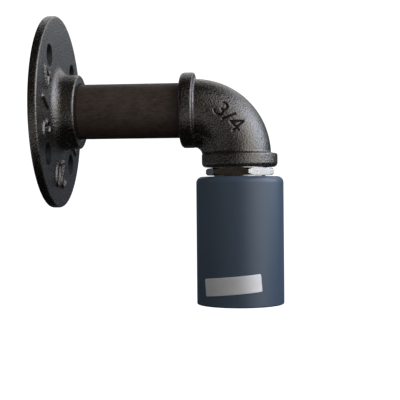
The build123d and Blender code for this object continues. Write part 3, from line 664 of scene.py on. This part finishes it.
# %% Group: sand grain
tree, group_in, group_out = start_group(
    "sand_grain",
    {"Grain Size": 0.45, "Pit Size": 1.6},
    {"Height": "NodeSocketFloat", "Pits": "NodeSocketFloat"},
)
place = in_millimetres(tree)
fine_scale = maths(tree, "DIVIDE", 1.0, group_in.outputs["Grain Size"])
pit_scale = maths(tree, "DIVIDE", 1.0, group_in.outputs["Pit Size"])
lumps = soft_noise(tree, place, fine_scale, 3.0, 0.6)
cell_values = {"Vector": place, "Scale": pit_scale, "Randomness": 1.0}
cells = add_node(tree, "ShaderNodeTexVoronoi", cell_values, feature="F1").outputs["Distance"]
pit_rim, pit_floor = 0.22, 0.05
few_pits, many_pits = 0.45, 0.62
wander = spread(tree, soft_noise(tree, place, 0.35, 2.0), few_pits, many_pits)
pits = maths(tree, "MULTIPLY", spread(tree, cells, pit_rim, pit_floor), wander)
height = maths(tree, "SUBTRACT", lumps, maths(tree, "MULTIPLY", pits, 0.5))
tree.links.new(height, group_out.inputs["Height"])
tree.links.new(pits, group_out.inputs["Pits"])
sand_grain = tree

# %% [markdown]
# **Mottle.** No painted or plated surface has one even colour. This group lets two colours drift into each
# other over a few millimetres, and hands out the share too, so that roughness can follow it.

# %% Group: mottle
tree, group_in, group_out = start_group(
    "mottle",
    {"First": (0.1, 0.1, 0.1, 1), "Second": (0.2, 0.2, 0.2, 1), "Patch Size": 8.0, "Contrast": 0.5},
    {"Color": "NodeSocketColor", "Share": "NodeSocketFloat"},
)
place = in_millimetres(tree)
patch_scale = maths(tree, "DIVIDE", 1.0, group_in.outputs["Patch Size"])
clouds = soft_noise(tree, place, patch_scale, 5.0, 0.55)
centred = maths(tree, "SUBTRACT", clouds, 0.5)
gain = maths(tree, "MULTIPLY", group_in.outputs["Contrast"], 5.0)
share = maths(tree, "MULTIPLY_ADD", centred, gain, 0.5, clamp=True)
drift = blend_colours(tree, share, group_in.outputs["First"], group_in.outputs["Second"])
tree.links.new(drift, group_out.inputs["Color"])
tree.links.new(share, group_out.inputs["Share"])
mottle = tree

# %% [markdown]
# **Edge wear.** Handling rubs the lacquer thin on edges. The bevel node rounds the surface's normal near
# an edge, so where it differs from the true normal there is an edge. A noise breaks the line up.

# %% Group: edge wear
tree, group_in, group_out = start_group(
    "edge_wear",
    {"Width": 0.0006, "Patch Size": 1.5},
    {"Mask": "NodeSocketFloat"},
)
rounded = add_node(tree, "ShaderNodeBevel", {"Radius": group_in.outputs["Width"]}, samples=4)
true_normal = add_node(tree, "ShaderNodeNewGeometry").outputs["Normal"]
normals = {0: rounded.outputs[0], 1: true_normal}
agreement = add_node(tree, "ShaderNodeVectorMath", normals, operation="DOT_PRODUCT").outputs["Value"]
flat_agreement, edge_agreement = 0.995, 0.90
edge = spread(tree, agreement, flat_agreement, edge_agreement)
break_scale = maths(tree, "DIVIDE", 1.0, group_in.outputs["Patch Size"])
kept_coat, rubbed_coat = 0.38, 0.62
breaks = spread(tree, soft_noise(tree, in_millimetres(tree), break_scale, 4.0), kept_coat, rubbed_coat)
tree.links.new(maths(tree, "MULTIPLY", edge, breaks), group_out.inputs["Mask"])
edge_wear = tree

# %% [markdown]
# **Drawn streaks.** Rolling, drawing and brushing leave fine lines one way. A noise is squeezed across the
# lines and stretched along them. The three stretch values say how slowly it changes along x, y and z.

# %% Group: drawn streaks
tree, group_in, group_out = start_group(
    "drawn_streaks",
    {"Along X": 1.0, "Along Y": 1.0, "Along Z": 1.0},
    {"Lines": "NodeSocketFloat"},
)
along = {axis: group_in.outputs["Along " + axis] for axis in "XYZ"}
stretch = add_node(tree, "ShaderNodeCombineXYZ", along).outputs[0]
ratio = {0: in_millimetres(tree), 1: stretch}
place = add_node(tree, "ShaderNodeVectorMath", ratio, operation="DIVIDE").outputs[0]
tree.links.new(soft_noise(tree, place, 1.0, 4.0, 0.6), group_out.inputs["Lines"])
drawn_streaks = tree

# %% [markdown]
# **Dust.** A little dust settles on what faces up. The group reads the normal in the piece's own
# frame, so the dust stays where it lies when the arm is swung for another picture.

# %% Group: dust
tree, group_in, group_out = start_group("dust", {"Amount": 0.3}, {"Mask": "NodeSocketFloat"})
own_normal = add_node(tree, "ShaderNodeTexCoord").outputs["Normal"]
upward = add_node(tree, "ShaderNodeSeparateXYZ", {0: own_normal}).outputs["Z"]
steepest, level = 0.35, 1.0
specks = spread(tree, soft_noise(tree, in_millimetres(tree), 1.3, 6.0, 0.7), 0.42, 0.66)
settled = maths(tree, "MULTIPLY", spread(tree, upward, steepest, level), specks)
tree.links.new(maths(tree, "MULTIPLY", settled, group_in.outputs["Amount"]), group_out.inputs["Mask"])
dust = tree

# %% [markdown]
# ** Countersink shade.** The four countersinks get painted shade: the cast iron paints them near black. The
# group measures how far a point is from the nearest of the four hole axes, and fades out towards the
# flange's face, which keeps its lacquer.

# %% Group: countersink shade
# painted shade: the mask of the countersinks, which the cast iron paints near black
tree, group_in, group_out = start_group("countersink_shade", {"Reach": 5.7}, {"Mask": "NodeSocketFloat"})
spot = add_node(tree, "ShaderNodeSeparateXYZ", {0: in_millimetres(tree)}).outputs
flat_spot = add_node(tree, "ShaderNodeCombineXYZ", {"Y": spot["Y"], "Z": spot["Z"]}).outputs[0]
nearest, hole_ring = 100.0, 33.0
for degrees in (40, 130, 220, 310):
    turn = math.radians(degrees)
    ends = {0: flat_spot, 1: (0, hole_ring * math.cos(turn), hole_ring * math.sin(turn))}
    away = add_node(tree, "ShaderNodeVectorMath", ends, operation="DISTANCE").outputs["Value"]
    nearest = maths(tree, "MINIMUM", away, nearest)
reach = group_in.outputs["Reach"]
inside = spread(tree, maths(tree, "SUBTRACT", nearest, reach), 0.1, -0.3)
face_height = flange_face_x / MM
under_face = spread(tree, spot["X"], face_height + 0.05, face_height - 0.15)
tree.links.new(maths(tree, "MULTIPLY", inside, under_face), group_out.inputs["Mask"])
countersink_shade = tree
print("groups:", [group.name for group in bpy.data.node_groups])

# %% [markdown]
# ## Finishes
# A finish starts from one helper: an empty material with a Principled shader, whose plain numbers are
# set on its own sockets. Only what changes over the surface comes from nodes. The other helpers place
# a group, mottle two colours, draw streaks, turn a pattern into roughness, link what changes to the
# shader, and give the finish to a part.

# %% Helpers for finishes
def start_finish(name, **plain):
    """A material with a Principled shader and its plain values."""
    material = bpy.data.materials.new(name)
    material.use_nodes = True
    tree = material.node_tree
    tree.nodes.clear()
    output = tree.nodes.new("ShaderNodeOutputMaterial")
    shader = tree.nodes.new("ShaderNodeBsdfPrincipled")
    tree.links.new(shader.outputs[0], output.inputs["Surface"])
    for socket, value in plain.items():
        shader.inputs[socket.replace("_", " ").title().replace("Ior", "IOR")].default_value = value
    print("finish", name)
    return material, tree, shader


def use_group(tree, group, **values):
    """The outputs of a node group, placed with these input values."""
    node = tree.nodes.new("ShaderNodeGroup")
    node.node_tree = group
    for key, value in values.items():
        socket = node.inputs[key.replace("_", " ").title()]
        if isinstance(value, bpy.types.NodeSocket):
            tree.links.new(value, socket)
        else:
            socket.default_value = value
    return node.outputs


def mottled(tree, first, second, patch_size, contrast):
    """Two colours that drift into each other; a patch is sized in millimetres."""
    ends = {"first": (*first, 1), "second": (*second, 1)}
    return use_group(tree, mottle, patch_size=patch_size, contrast=contrast, **ends)


def streaks(tree, x, y, z):
    """Fine lines, longest along the axes with the largest numbers."""
    return use_group(tree, drawn_streaks, along_x=x, along_y=y, along_z=z)["Lines"]


def roughness_from(tree, pattern, at_low, at_high):
    """A roughness that follows a noise, most of which lies between 0.3 and 0.7."""
    return spread(tree, pattern, 0.3, 0.7, at_low, at_high)


def feed(tree, shader, **sockets):
    """Link what changes over the surface to the shader's inputs."""
    for name, socket in sockets.items():
        tree.links.new(socket, shader.inputs[name.replace("_", " ").title()])


def bump(tree, shader, height, distance):
    """Feed a height, in units of distance, to the shader's normal."""
    values = {"Height": height, "Distance": distance, "Strength": 1.0}
    feed(tree, shader, normal=add_node(tree, "ShaderNodeBump", values).outputs[0])


def dress(material, *names):
    """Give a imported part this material."""
    for name in names:
        slots = nodes[name].material_slots
        if not slots:
            nodes[name].data.materials.append(material)
        for slot in slots:
            slot.material = material


# %% [markdown]
# ** Cast iron.** The castings are dipped in a thin black-brown lacquer. It pools in the grain and shines
# on top of it, so highlights break up into specks. Seen straight on, it colours what it mirrors faintly
# brown, and that is the specular tint. Rubbed edges show grey iron. The countersinks and the grooves of
# the sunk figures get painted shade: they are painted near black and shine much less.

# %% Finish: lacquered cast iron
cast_iron, tree, shader = start_finish(
    "cast_iron", specular_ior_level=0.75, ior=1.82, specular_tint=(1.0, 0.94, 0.88, 1)
)
lacquer = mottled(tree, (0.0050, 0.0037, 0.0028), (0.0105, 0.0080, 0.0062), patch_size=6.0, contrast=0.5)
grain = use_group(tree, sand_grain, grain_size=0.85, pit_size=1.5)
wear = use_group(tree, edge_wear, width=0.8 * MM, patch_size=1.2)["Mask"]
dusty = use_group(tree, dust, amount=0.05)["Mask"]
bare_iron = (0.16, 0.155, 0.16, 1)
pit_dark = (0.008, 0.007, 0.006, 1)
dust_grey = (0.22, 0.20, 0.18, 1)
# painted shade: the near black for the countersinks and the grooves of the sunk figures
painted_shade_dark = (0.02, 0.02, 0.02, 1)
worn = blend_colours(tree, maths(tree, "MULTIPLY", wear, 0.6), lacquer["Color"], bare_iron)
pitted = blend_colours(tree, maths(tree, "MULTIPLY", grain["Pits"], 0.7), worn, pit_dark)
settled = blend_colours(tree, dusty, pitted, dust_grey)
groove_share = add_node(tree, "ShaderNodeAttribute", attribute_name="groove").outputs["Fac"]
# painted shade in the grooves of the sunk figures and in the countersinks, which also shine much less
groove_shade = spread(tree, groove_share, 0.45, 1.0, 0.0, 0.92)
recess_shade = maths(tree, "MAXIMUM", use_group(tree, countersink_shade)["Mask"], groove_shade)
scaled = blend_colours(tree, recess_shade, settled, painted_shade_dark)
lacquered = roughness_from(tree, grain["Height"], 0.33, 0.20)
roughness = maths(tree, "MAXIMUM", lacquered, maths(tree, "MULTIPLY", recess_shade, 0.60))
metallic = maths(tree, "MAXIMUM", maths(tree, "MULTIPLY", wear, 0.7), recess_shade)
feed(tree, shader, base_color=scaled, roughness=roughness, metallic=metallic)
bump(tree, shader, grain["Height"], 0.31 * MM)

# %% [markdown]
# **Steel pipe.** The pipe keeps the dark skin of hot rolling under a film of oil. Fine lines run along
# it, with a touch of brown rust.

# %% Finish: dark rolled pipe
pipe_steel, tree, shader = start_finish("pipe_steel", specular_ior_level=0.35)
oiled = mottled(tree, (0.030, 0.019, 0.013), (0.054, 0.037, 0.028), patch_size=5.0, contrast=0.6)
lines = streaks(tree, 3.0, 0.5, 0.5)
line_share = spread(tree, lines, 0.38, 0.68, 0.0, 0.7)
streaked = blend_colours(tree, line_share, oiled["Color"], (0.074, 0.057, 0.048, 1))
feed(tree, shader, base_color=streaked, roughness=roughness_from(tree, lines, 0.62, 0.50))
bump(tree, shader, lines, 0.06 * MM)
dress(pipe_steel, "pipe_nipple")

# %% [markdown]
# **Nickel plate.** The bush and its washer are turned from brass and plated bright. Turning leaves faint
# rings, which the plating follows. Where the plating is rubbed thin on an edge, the brass shows.

# %% Finish: bright nickel
nickel, tree, shader = start_finish("nickel", metallic=1.0)
plating = mottled(tree, (0.50, 0.49, 0.475), (0.42, 0.40, 0.37), patch_size=3.0, contrast=0.5)
lines = streaks(tree, 2.5, 2.5, 0.16)
wear = maths(tree, "MULTIPLY", use_group(tree, edge_wear, width=0.4 * MM, patch_size=0.8)["Mask"], 0.5)
worn = blend_colours(tree, wear, plating["Color"], (0.62, 0.47, 0.22, 1))
feed(tree, shader, base_color=worn, roughness=roughness_from(tree, lines, 0.12, 0.24))
bump(tree, shader, lines, 0.02 * MM)
dress(nickel, "hex_bush", "cup_washer")

# %% [markdown]
# **Satin paint.** The cup is sprayed slate grey. Sprayed paint dries with a very fine orange peel, and its
# gloss is soft, so the lamps show as one broad band down the side.

# %% Finish: satin slate paint
slate_paint, tree, shader = start_finish("slate_paint", specular_ior_level=0.60)
slate = mottled(tree, (0.051, 0.079, 0.119), (0.056, 0.087, 0.130), patch_size=20.0, contrast=0.4)
peel = soft_noise(tree, in_millimetres(tree), 2.4, 2.0)
feed(tree, shader, base_color=slate["Color"], roughness=roughness_from(tree, peel, 0.40, 0.45))
bump(tree, shader, peel, 0.01 * MM)
dress(slate_paint, "lamp_cup")

# %% [markdown]
# **Silver foil.** Foil is brushed along its length before it is cut. It reflects softly, and small dents
# left by a thumb catch the light.

# %% Finish: brushed silver foil
silver_foil, tree, shader = start_finish("silver_foil", metallic=0.4)
foil = mottled(tree, (0.78, 0.79, 0.82), (0.85, 0.86, 0.89), patch_size=5.0, contrast=0.5)
lines = streaks(tree, 9.0, 9.0, 0.12)
dents = soft_noise(tree, in_millimetres(tree), 0.7, 2.0)
feed(tree, shader, base_color=foil["Color"], roughness=roughness_from(tree, lines, 0.40, 0.52))
bump(tree, shader, maths(tree, "ADD", maths(tree, "MULTIPLY", lines, 0.12), dents), 0.06 * MM)

# %% [markdown]
# **Small metal parts.** Screws, nuts and the bracket are zinc plated steel, the terminals brass, the leaf
# bronze and the shell thin plated sheet. They share one recipe: a mottled metal colour with fine working
# lines and brighter rubbed edges.

# %% Finishes: small metal parts
RUBBED_GAIN = 1.25


def metal_finish(name, first, second, rough_low, rough_high, stretch):
    """A metal between two colours, with lines stretched along x, y and z, and rubbed edges."""
    material, tree, shader = start_finish(name, metallic=1.0)
    metal = mottled(tree, first, second, patch_size=2.5, contrast=0.6)
    lines = streaks(tree, *stretch)
    wear = use_group(tree, edge_wear, width=0.3 * MM, patch_size=0.9)["Mask"]
    brighter = (*(min(1.0, part * RUBBED_GAIN) for part in second), 1)
    worn = blend_colours(tree, wear, metal["Color"], brighter)
    roughness = roughness_from(tree, lines, rough_low, rough_high)
    feed(tree, shader, base_color=worn, roughness=roughness)
    bump(tree, shader, lines, 0.02 * MM)
    return material


zinc = metal_finish("zinc", (0.50, 0.51, 0.53), (0.62, 0.62, 0.60), 0.26, 0.42, (0.5, 3.0, 3.0))
brass = metal_finish("brass", (0.56, 0.40, 0.16), (0.66, 0.50, 0.22), 0.22, 0.38, (3.0, 0.3, 3.0))
bronze = metal_finish("bronze", (0.52, 0.30, 0.13), (0.62, 0.38, 0.18), 0.24, 0.36, (0.25, 4.0, 4.0))
shell_sheet = metal_finish(
    "shell_sheet", (0.58, 0.52, 0.40), (0.68, 0.62, 0.48), 0.20, 0.34, (3.0, 3.0, 0.3)
)
dress(zinc, "lock_washer", "cup_locknut", "holder_bracket", "bracket_screws", "shell_screws")
dress(zinc, "contact_screw", "terminal_screws", "ferrule_pins")
dress(brass, "bracket_inserts", "live_terminal", "neutral_terminal", "earth_tag")
dress(bronze, "centre_contact")

# %% [markdown]
# **Porcelain.** The holder is white glazed porcelain. Under the glaze the body is warm and slightly
# speckled, and the glaze pools a little unevenly, which a slow bump shows in the gloss.

# %% Finish: glazed porcelain
glaze, tree, shader = start_finish("glaze", coat_weight=0.6, coat_roughness=0.06)
body = mottled(tree, (0.80, 0.78, 0.72), (0.86, 0.85, 0.80), patch_size=9.0, contrast=0.5)
specks = use_group(tree, sand_grain, grain_size=2.5, pit_size=2.2)
speckled = blend_colours(
    tree, maths(tree, "MULTIPLY", specks["Pits"], 0.35), body["Color"], (0.35, 0.28, 0.20, 1)
)
feed(tree, shader, base_color=speckled, roughness=spread(tree, body["Share"], 0.0, 1.0, 0.22, 0.32))
bump(tree, shader, specks["Height"], 0.04 * MM)
dress(glaze, "porcelain_body")

# %% [markdown]
# **Plastics.** Wire insulation and the small guards are soft plastic. The earth wire is green with a
# yellow stripe, which runs along the wire: where the wire lies along the pipe, the stripe is what lies
# on one side of it.

# %% Finishes: plastics
ROUGH_SWING = 0.05
STRIPE_EDGE = (-0.32, -0.22)


def plastic_finish(name, first, second, rough, stripe=None):
    """A plastic between two colours; a stripe colour goes on the side of the wire that faces -y."""
    material, tree, shader = start_finish(name, specular_ior_level=0.45)
    plastic = mottled(tree, first, second, patch_size=2.0, contrast=0.4)
    surface = plastic["Color"]
    if stripe:
        side = add_node(tree, "ShaderNodeSeparateXYZ", {0: in_millimetres(tree)}).outputs["Y"]
        plain_share = spread(tree, side, *STRIPE_EDGE)
        surface = blend_colours(tree, plain_share, (*stripe, 1), surface)
    roughness = spread(tree, plastic["Share"], 0.0, 1.0, rough - ROUGH_SWING, rough + ROUGH_SWING)
    feed(tree, shader, base_color=surface, roughness=roughness)
    bump(tree, shader, plastic["Share"], 0.02 * MM)
    return material


black_plastic = plastic_finish("black_plastic", (0.018, 0.018, 0.019), (0.026, 0.026, 0.027), 0.50)
grey_plastic = plastic_finish("grey_plastic", (0.46, 0.46, 0.45), (0.54, 0.54, 0.52), 0.45)
brown_insulation = plastic_finish("brown_insulation", (0.13, 0.055, 0.025), (0.17, 0.075, 0.035), 0.42)
blue_insulation = plastic_finish("blue_insulation", (0.025, 0.09, 0.34), (0.035, 0.12, 0.42), 0.42)
earth_insulation = plastic_finish(
    "earth_insulation", (0.05, 0.26, 0.05), (0.06, 0.32, 0.06), 0.42, stripe=(0.80, 0.62, 0.04)
)
dress(black_plastic, "nipple_bushing")
dress(grey_plastic, "ferrule_collars")
dress(brown_insulation, "live_wire")
dress(blue_insulation, "neutral_wire")
dress(earth_insulation, "earth_wire")

# %% [markdown]
# ## Set the pieces in place
# Each new mesh takes its finish, rides on the body it belongs to, and stands for the solid it refines.

# %% Place the pieces
for piece, node, body, slot, material in (
    (cast_flange, "wall_flange", "wall_mount", "cast_casting", cast_iron),
    (cast_elbow, "pipe_elbow", "elbow_arm", "cast_casting", cast_iron),
    (rolled_shell, "screw_shell", "elbow_arm", "shell_plate", shell_sheet),
    (hanging_tube, "lamp_nipple", "elbow_arm", "zinc_steel", zinc),
    (silver_label, "foil_label", "elbow_arm", "foil", silver_foil),
):
    piece.data.materials.clear()
    piece.data.materials.append(material)
    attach(piece, body)
    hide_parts(node)
    print(piece.name, "stands for", node, "and moves with", body)

# %% [markdown]
# ## The studio
# The floor curves up into a backdrop without an edge. Both are white to the camera and in reflections,
# but give the lamp little light, so that its underside stays dark as in the photograph.

# %% Floor and backdrop
def sweep_sheet(name, section, low, high):
    """A sheet whose section is a list of (y, z) points, pulled from low to high along x."""
    points = [(x, *spot) for x in (low, high) for spot in section]
    count = len(section)
    return mesh_from(name, points, [(i, i + 1, count + i + 1, count + i) for i in range(count - 1)])


def seen_directly(tree):
    """1 for rays from the camera, off a shiny surface or through glass, and 0 for scattered light."""
    light_path = tree.nodes.new("ShaderNodeLightPath").outputs
    seen = maths(tree, "MAXIMUM", light_path["Is Camera Ray"], light_path["Is Glossy Ray"])
    return maths(tree, "MAXIMUM", seen, light_path["Is Transmission Ray"])


floor_z, floor_front, wall_y, wall_top, half_breadth = -0.30, -2.5, 1.5, 2.2, 3.0
cove_radius = 0.5
cove = [
    (wall_y - cove_radius + cove_radius * math.sin(t), floor_z + cove_radius - cove_radius * math.cos(t))
    for t in spaced_turns(0, 90, 15)
]
backdrop_section = [(floor_front, floor_z)] + cove + [(wall_y, wall_top)]
backdrop = link_piece("backdrop", sweep_sheet("backdrop", backdrop_section, -half_breadth, half_breadth))
pale, tree, shader = start_finish(
    "pale_paper", base_color=(0.80, 0.80, 0.80, 1), roughness=0.9, specular_ior_level=0.0,
    emission_color=(1, 1, 1, 1),
)
feed(tree, shader, emission_strength=maths(tree, "MULTIPLY", seen_directly(tree), 0.75))
backdrop.data.materials.append(pale)
print("backdrop faces", len(backdrop.data.polygons))

# %% [markdown]
# ## Light
# Four broad lamps stand round the front. The window is the strongest and the bluest: it stands far to
# the right and draws the bright lines down the pipe and the cup. The key lamp beside it is warm. The
# even and the fill lamp light the surfaces but don't show in reflections, so they lift the dark sides
# and add no second highlight. The world is white to the camera, and lights the surfaces with about a
# third of that.

# %% World and lamps
world = bpy.data.worlds.new("studio")
bpy.context.scene.world = world
world.use_nodes = True
tree = world.node_tree
tree.nodes.clear()
scattered_light = 0.35
strength = maths(tree, "MULTIPLY_ADD", seen_directly(tree), 1 - scattered_light, scattered_light)
sky = add_node(tree, "ShaderNodeBackground", {"Color": (1, 1, 1, 1), "Strength": strength})
tree.links.new(sky.outputs[0], tree.nodes.new("ShaderNodeOutputWorld").inputs["Surface"])


def soft_lamp(name, place, target, width, height, power, colour, glossy=True):
    """A broad lamp at a place, aimed at a target; without glossy it shows in no reflection."""
    lamp = bpy.data.lights.new(name, "AREA")
    lamp.shape = "RECTANGLE"
    lamp.size, lamp.size_y = width, height
    lamp.energy = power
    lamp.color = colour
    holder = bpy.data.objects.new(name, lamp)
    bpy.context.scene.collection.objects.link(holder)
    aim = Vector(target) - Vector(place)
    holder.matrix_world = Matrix.Translation(place) @ aim.to_track_quat("-Z", "Y").to_matrix().to_4x4()
    holder.visible_glossy = glossy


def around(azimuth, elevation, distance):
    """A place round the piece: azimuth from the front towards the right, elevation up, in degrees."""
    middle = Vector((0.07, 0.0, -0.02))
    turn, lift = math.radians(azimuth), math.radians(elevation)
    level, rise = distance * math.cos(lift), distance * math.sin(lift)
    return middle + Vector((level * math.sin(turn), -level * math.cos(turn), rise))


soft_lamp(
    "key", around(56, 20, 0.95), target=(0.07, 0, -0.03), width=0.60, height=0.90, power=1.9,
    colour=(1.0, 0.92, 0.83),
)
soft_lamp(
    "window", around(94, 26, 1.0), target=(0.07, 0, 0), width=0.74, height=0.85, power=7.0,
    colour=(0.66, 0.78, 1.0),
)
soft_lamp(
    "even", around(50, 20, 0.95), target=(0.07, 0, -0.03), width=0.60, height=0.90, power=1.2,
    colour=(1.0, 0.94, 0.88), glossy=False,
)
soft_lamp(
    "fill", around(-40, 25, 1.2), target=(0.07, 0, -0.02), width=0.90, height=0.90, power=1.1,
    colour=(1.0, 0.92, 0.84), glossy=False,
)
print("lamps:", [(lamp.name, round(lamp.energy, 2)) for lamp in bpy.data.lights])

# %% [markdown]
# ## Cards
# Dark cards stand on all sides. The camera doesn't see them, and they throw no shadow. They show in
# reflections, as the dark parts of a studio do, and give the metal its dark sides. Each has its tone:
# black where the photograph's edges are darkest, brown in front and grey at the far left. Three bands of
# blue-grey stand behind. The flange's face mirrors them, so its upper half has a paler sheen. Only the
# low card is seen by scattered light too, and keeps the undersides dark.

# %% Dark cards
cards_middle_x = 0.06


def card(name, cloth, rings, azimuths, seen_by_diffuse=False):
    """A curved card through rings of (radius, height), over a range of azimuths in degrees."""
    points = []
    for radius, height in rings:
        for turn in map(math.radians, azimuths):
            points.append((cards_middle_x + radius * math.sin(turn), -radius * math.cos(turn), height))
    count = len(azimuths)
    faces = [
        (row * count + i, row * count + i + 1, (row + 1) * count + i + 1, (row + 1) * count + i)
        for row in range(len(rings) - 1) for i in range(count - 1)
    ]
    piece = link_piece(name, mesh_from(name, points, faces))
    piece.data.materials.append(cloth)
    piece.visible_camera = False
    piece.visible_shadow = False
    piece.visible_diffuse = seen_by_diffuse
    print(name, "faces", len(faces))


def cloth_finish(name, colour):
    """A dull cloth of one colour."""
    return start_finish(name, base_color=(*colour, 1), roughness=1.0, specular_ior_level=0.0)[0]


black_cloth = cloth_finish("black_cloth", (0.015, 0.015, 0.015))
brown_cloth = cloth_finish("brown_cloth", (0.070, 0.056, 0.043))
grey_cloth = cloth_finish("grey_cloth", (0.10, 0.105, 0.115))
deep_blue_cloth = cloth_finish("deep_blue_cloth", (0.17, 0.195, 0.235))
blue_cloth = cloth_finish("blue_cloth", (0.29, 0.325, 0.375))
pale_blue_cloth = cloth_finish("pale_blue_cloth", (0.51, 0.565, 0.64))
wall_rings = [(0.85, -0.25), (0.85, 0.60), (0.55, 0.95)]
all_round, far_left, behind = range(-180, 181, 12), range(-150, -95, 9), range(133, 206, 9)
card("far_left_card", grey_cloth, [(0.86, -0.25), (0.86, -0.04)], far_left)
card("left_card", black_cloth, [(0.86, -0.045), (0.86, 0.60), (0.55, 0.95)], far_left)
card("side_left_card", black_cloth, wall_rings, range(-96, -41, 9))
card("front_card", brown_cloth, wall_rings, range(-42, 22, 9))
low_rings = [(0.33, -0.15), (0.22, -0.20), (0.001, -0.22)]
card("low_card", black_cloth, low_rings, all_round, seen_by_diffuse=True)
card("side_card", black_cloth, [(0.30, 0.105), (0.33, -0.15)], range(115, 134, 9))
card("back_high_card", pale_blue_cloth, [(0.298, 0.114), (0.310, 0.020)], behind)
card("back_card", deep_blue_cloth, [(0.310, 0.020), (0.315, -0.025)], behind)
card("back_low_card", blue_cloth, [(0.315, -0.025), (0.33, -0.15)], behind)
card("dim_card", grey_cloth, [(0.30, 0.100), (0.33, -0.15)], range(205, 236, 6))
card("right_card", black_cloth, [(0.30, -0.045), (0.33, -0.15)], range(80, 135, 9))
card("top_card", black_cloth, [(0.42, 0.62), (0.25, 0.70), (0.001, 0.72)], all_round)

# %% [markdown]
# ## View settings
# The view transform is the plain one, so a colour in the picture is what the light gives.

# %% View settings
bpy.context.scene.view_settings.view_transform = "Standard"
bpy.context.view_layer.update()
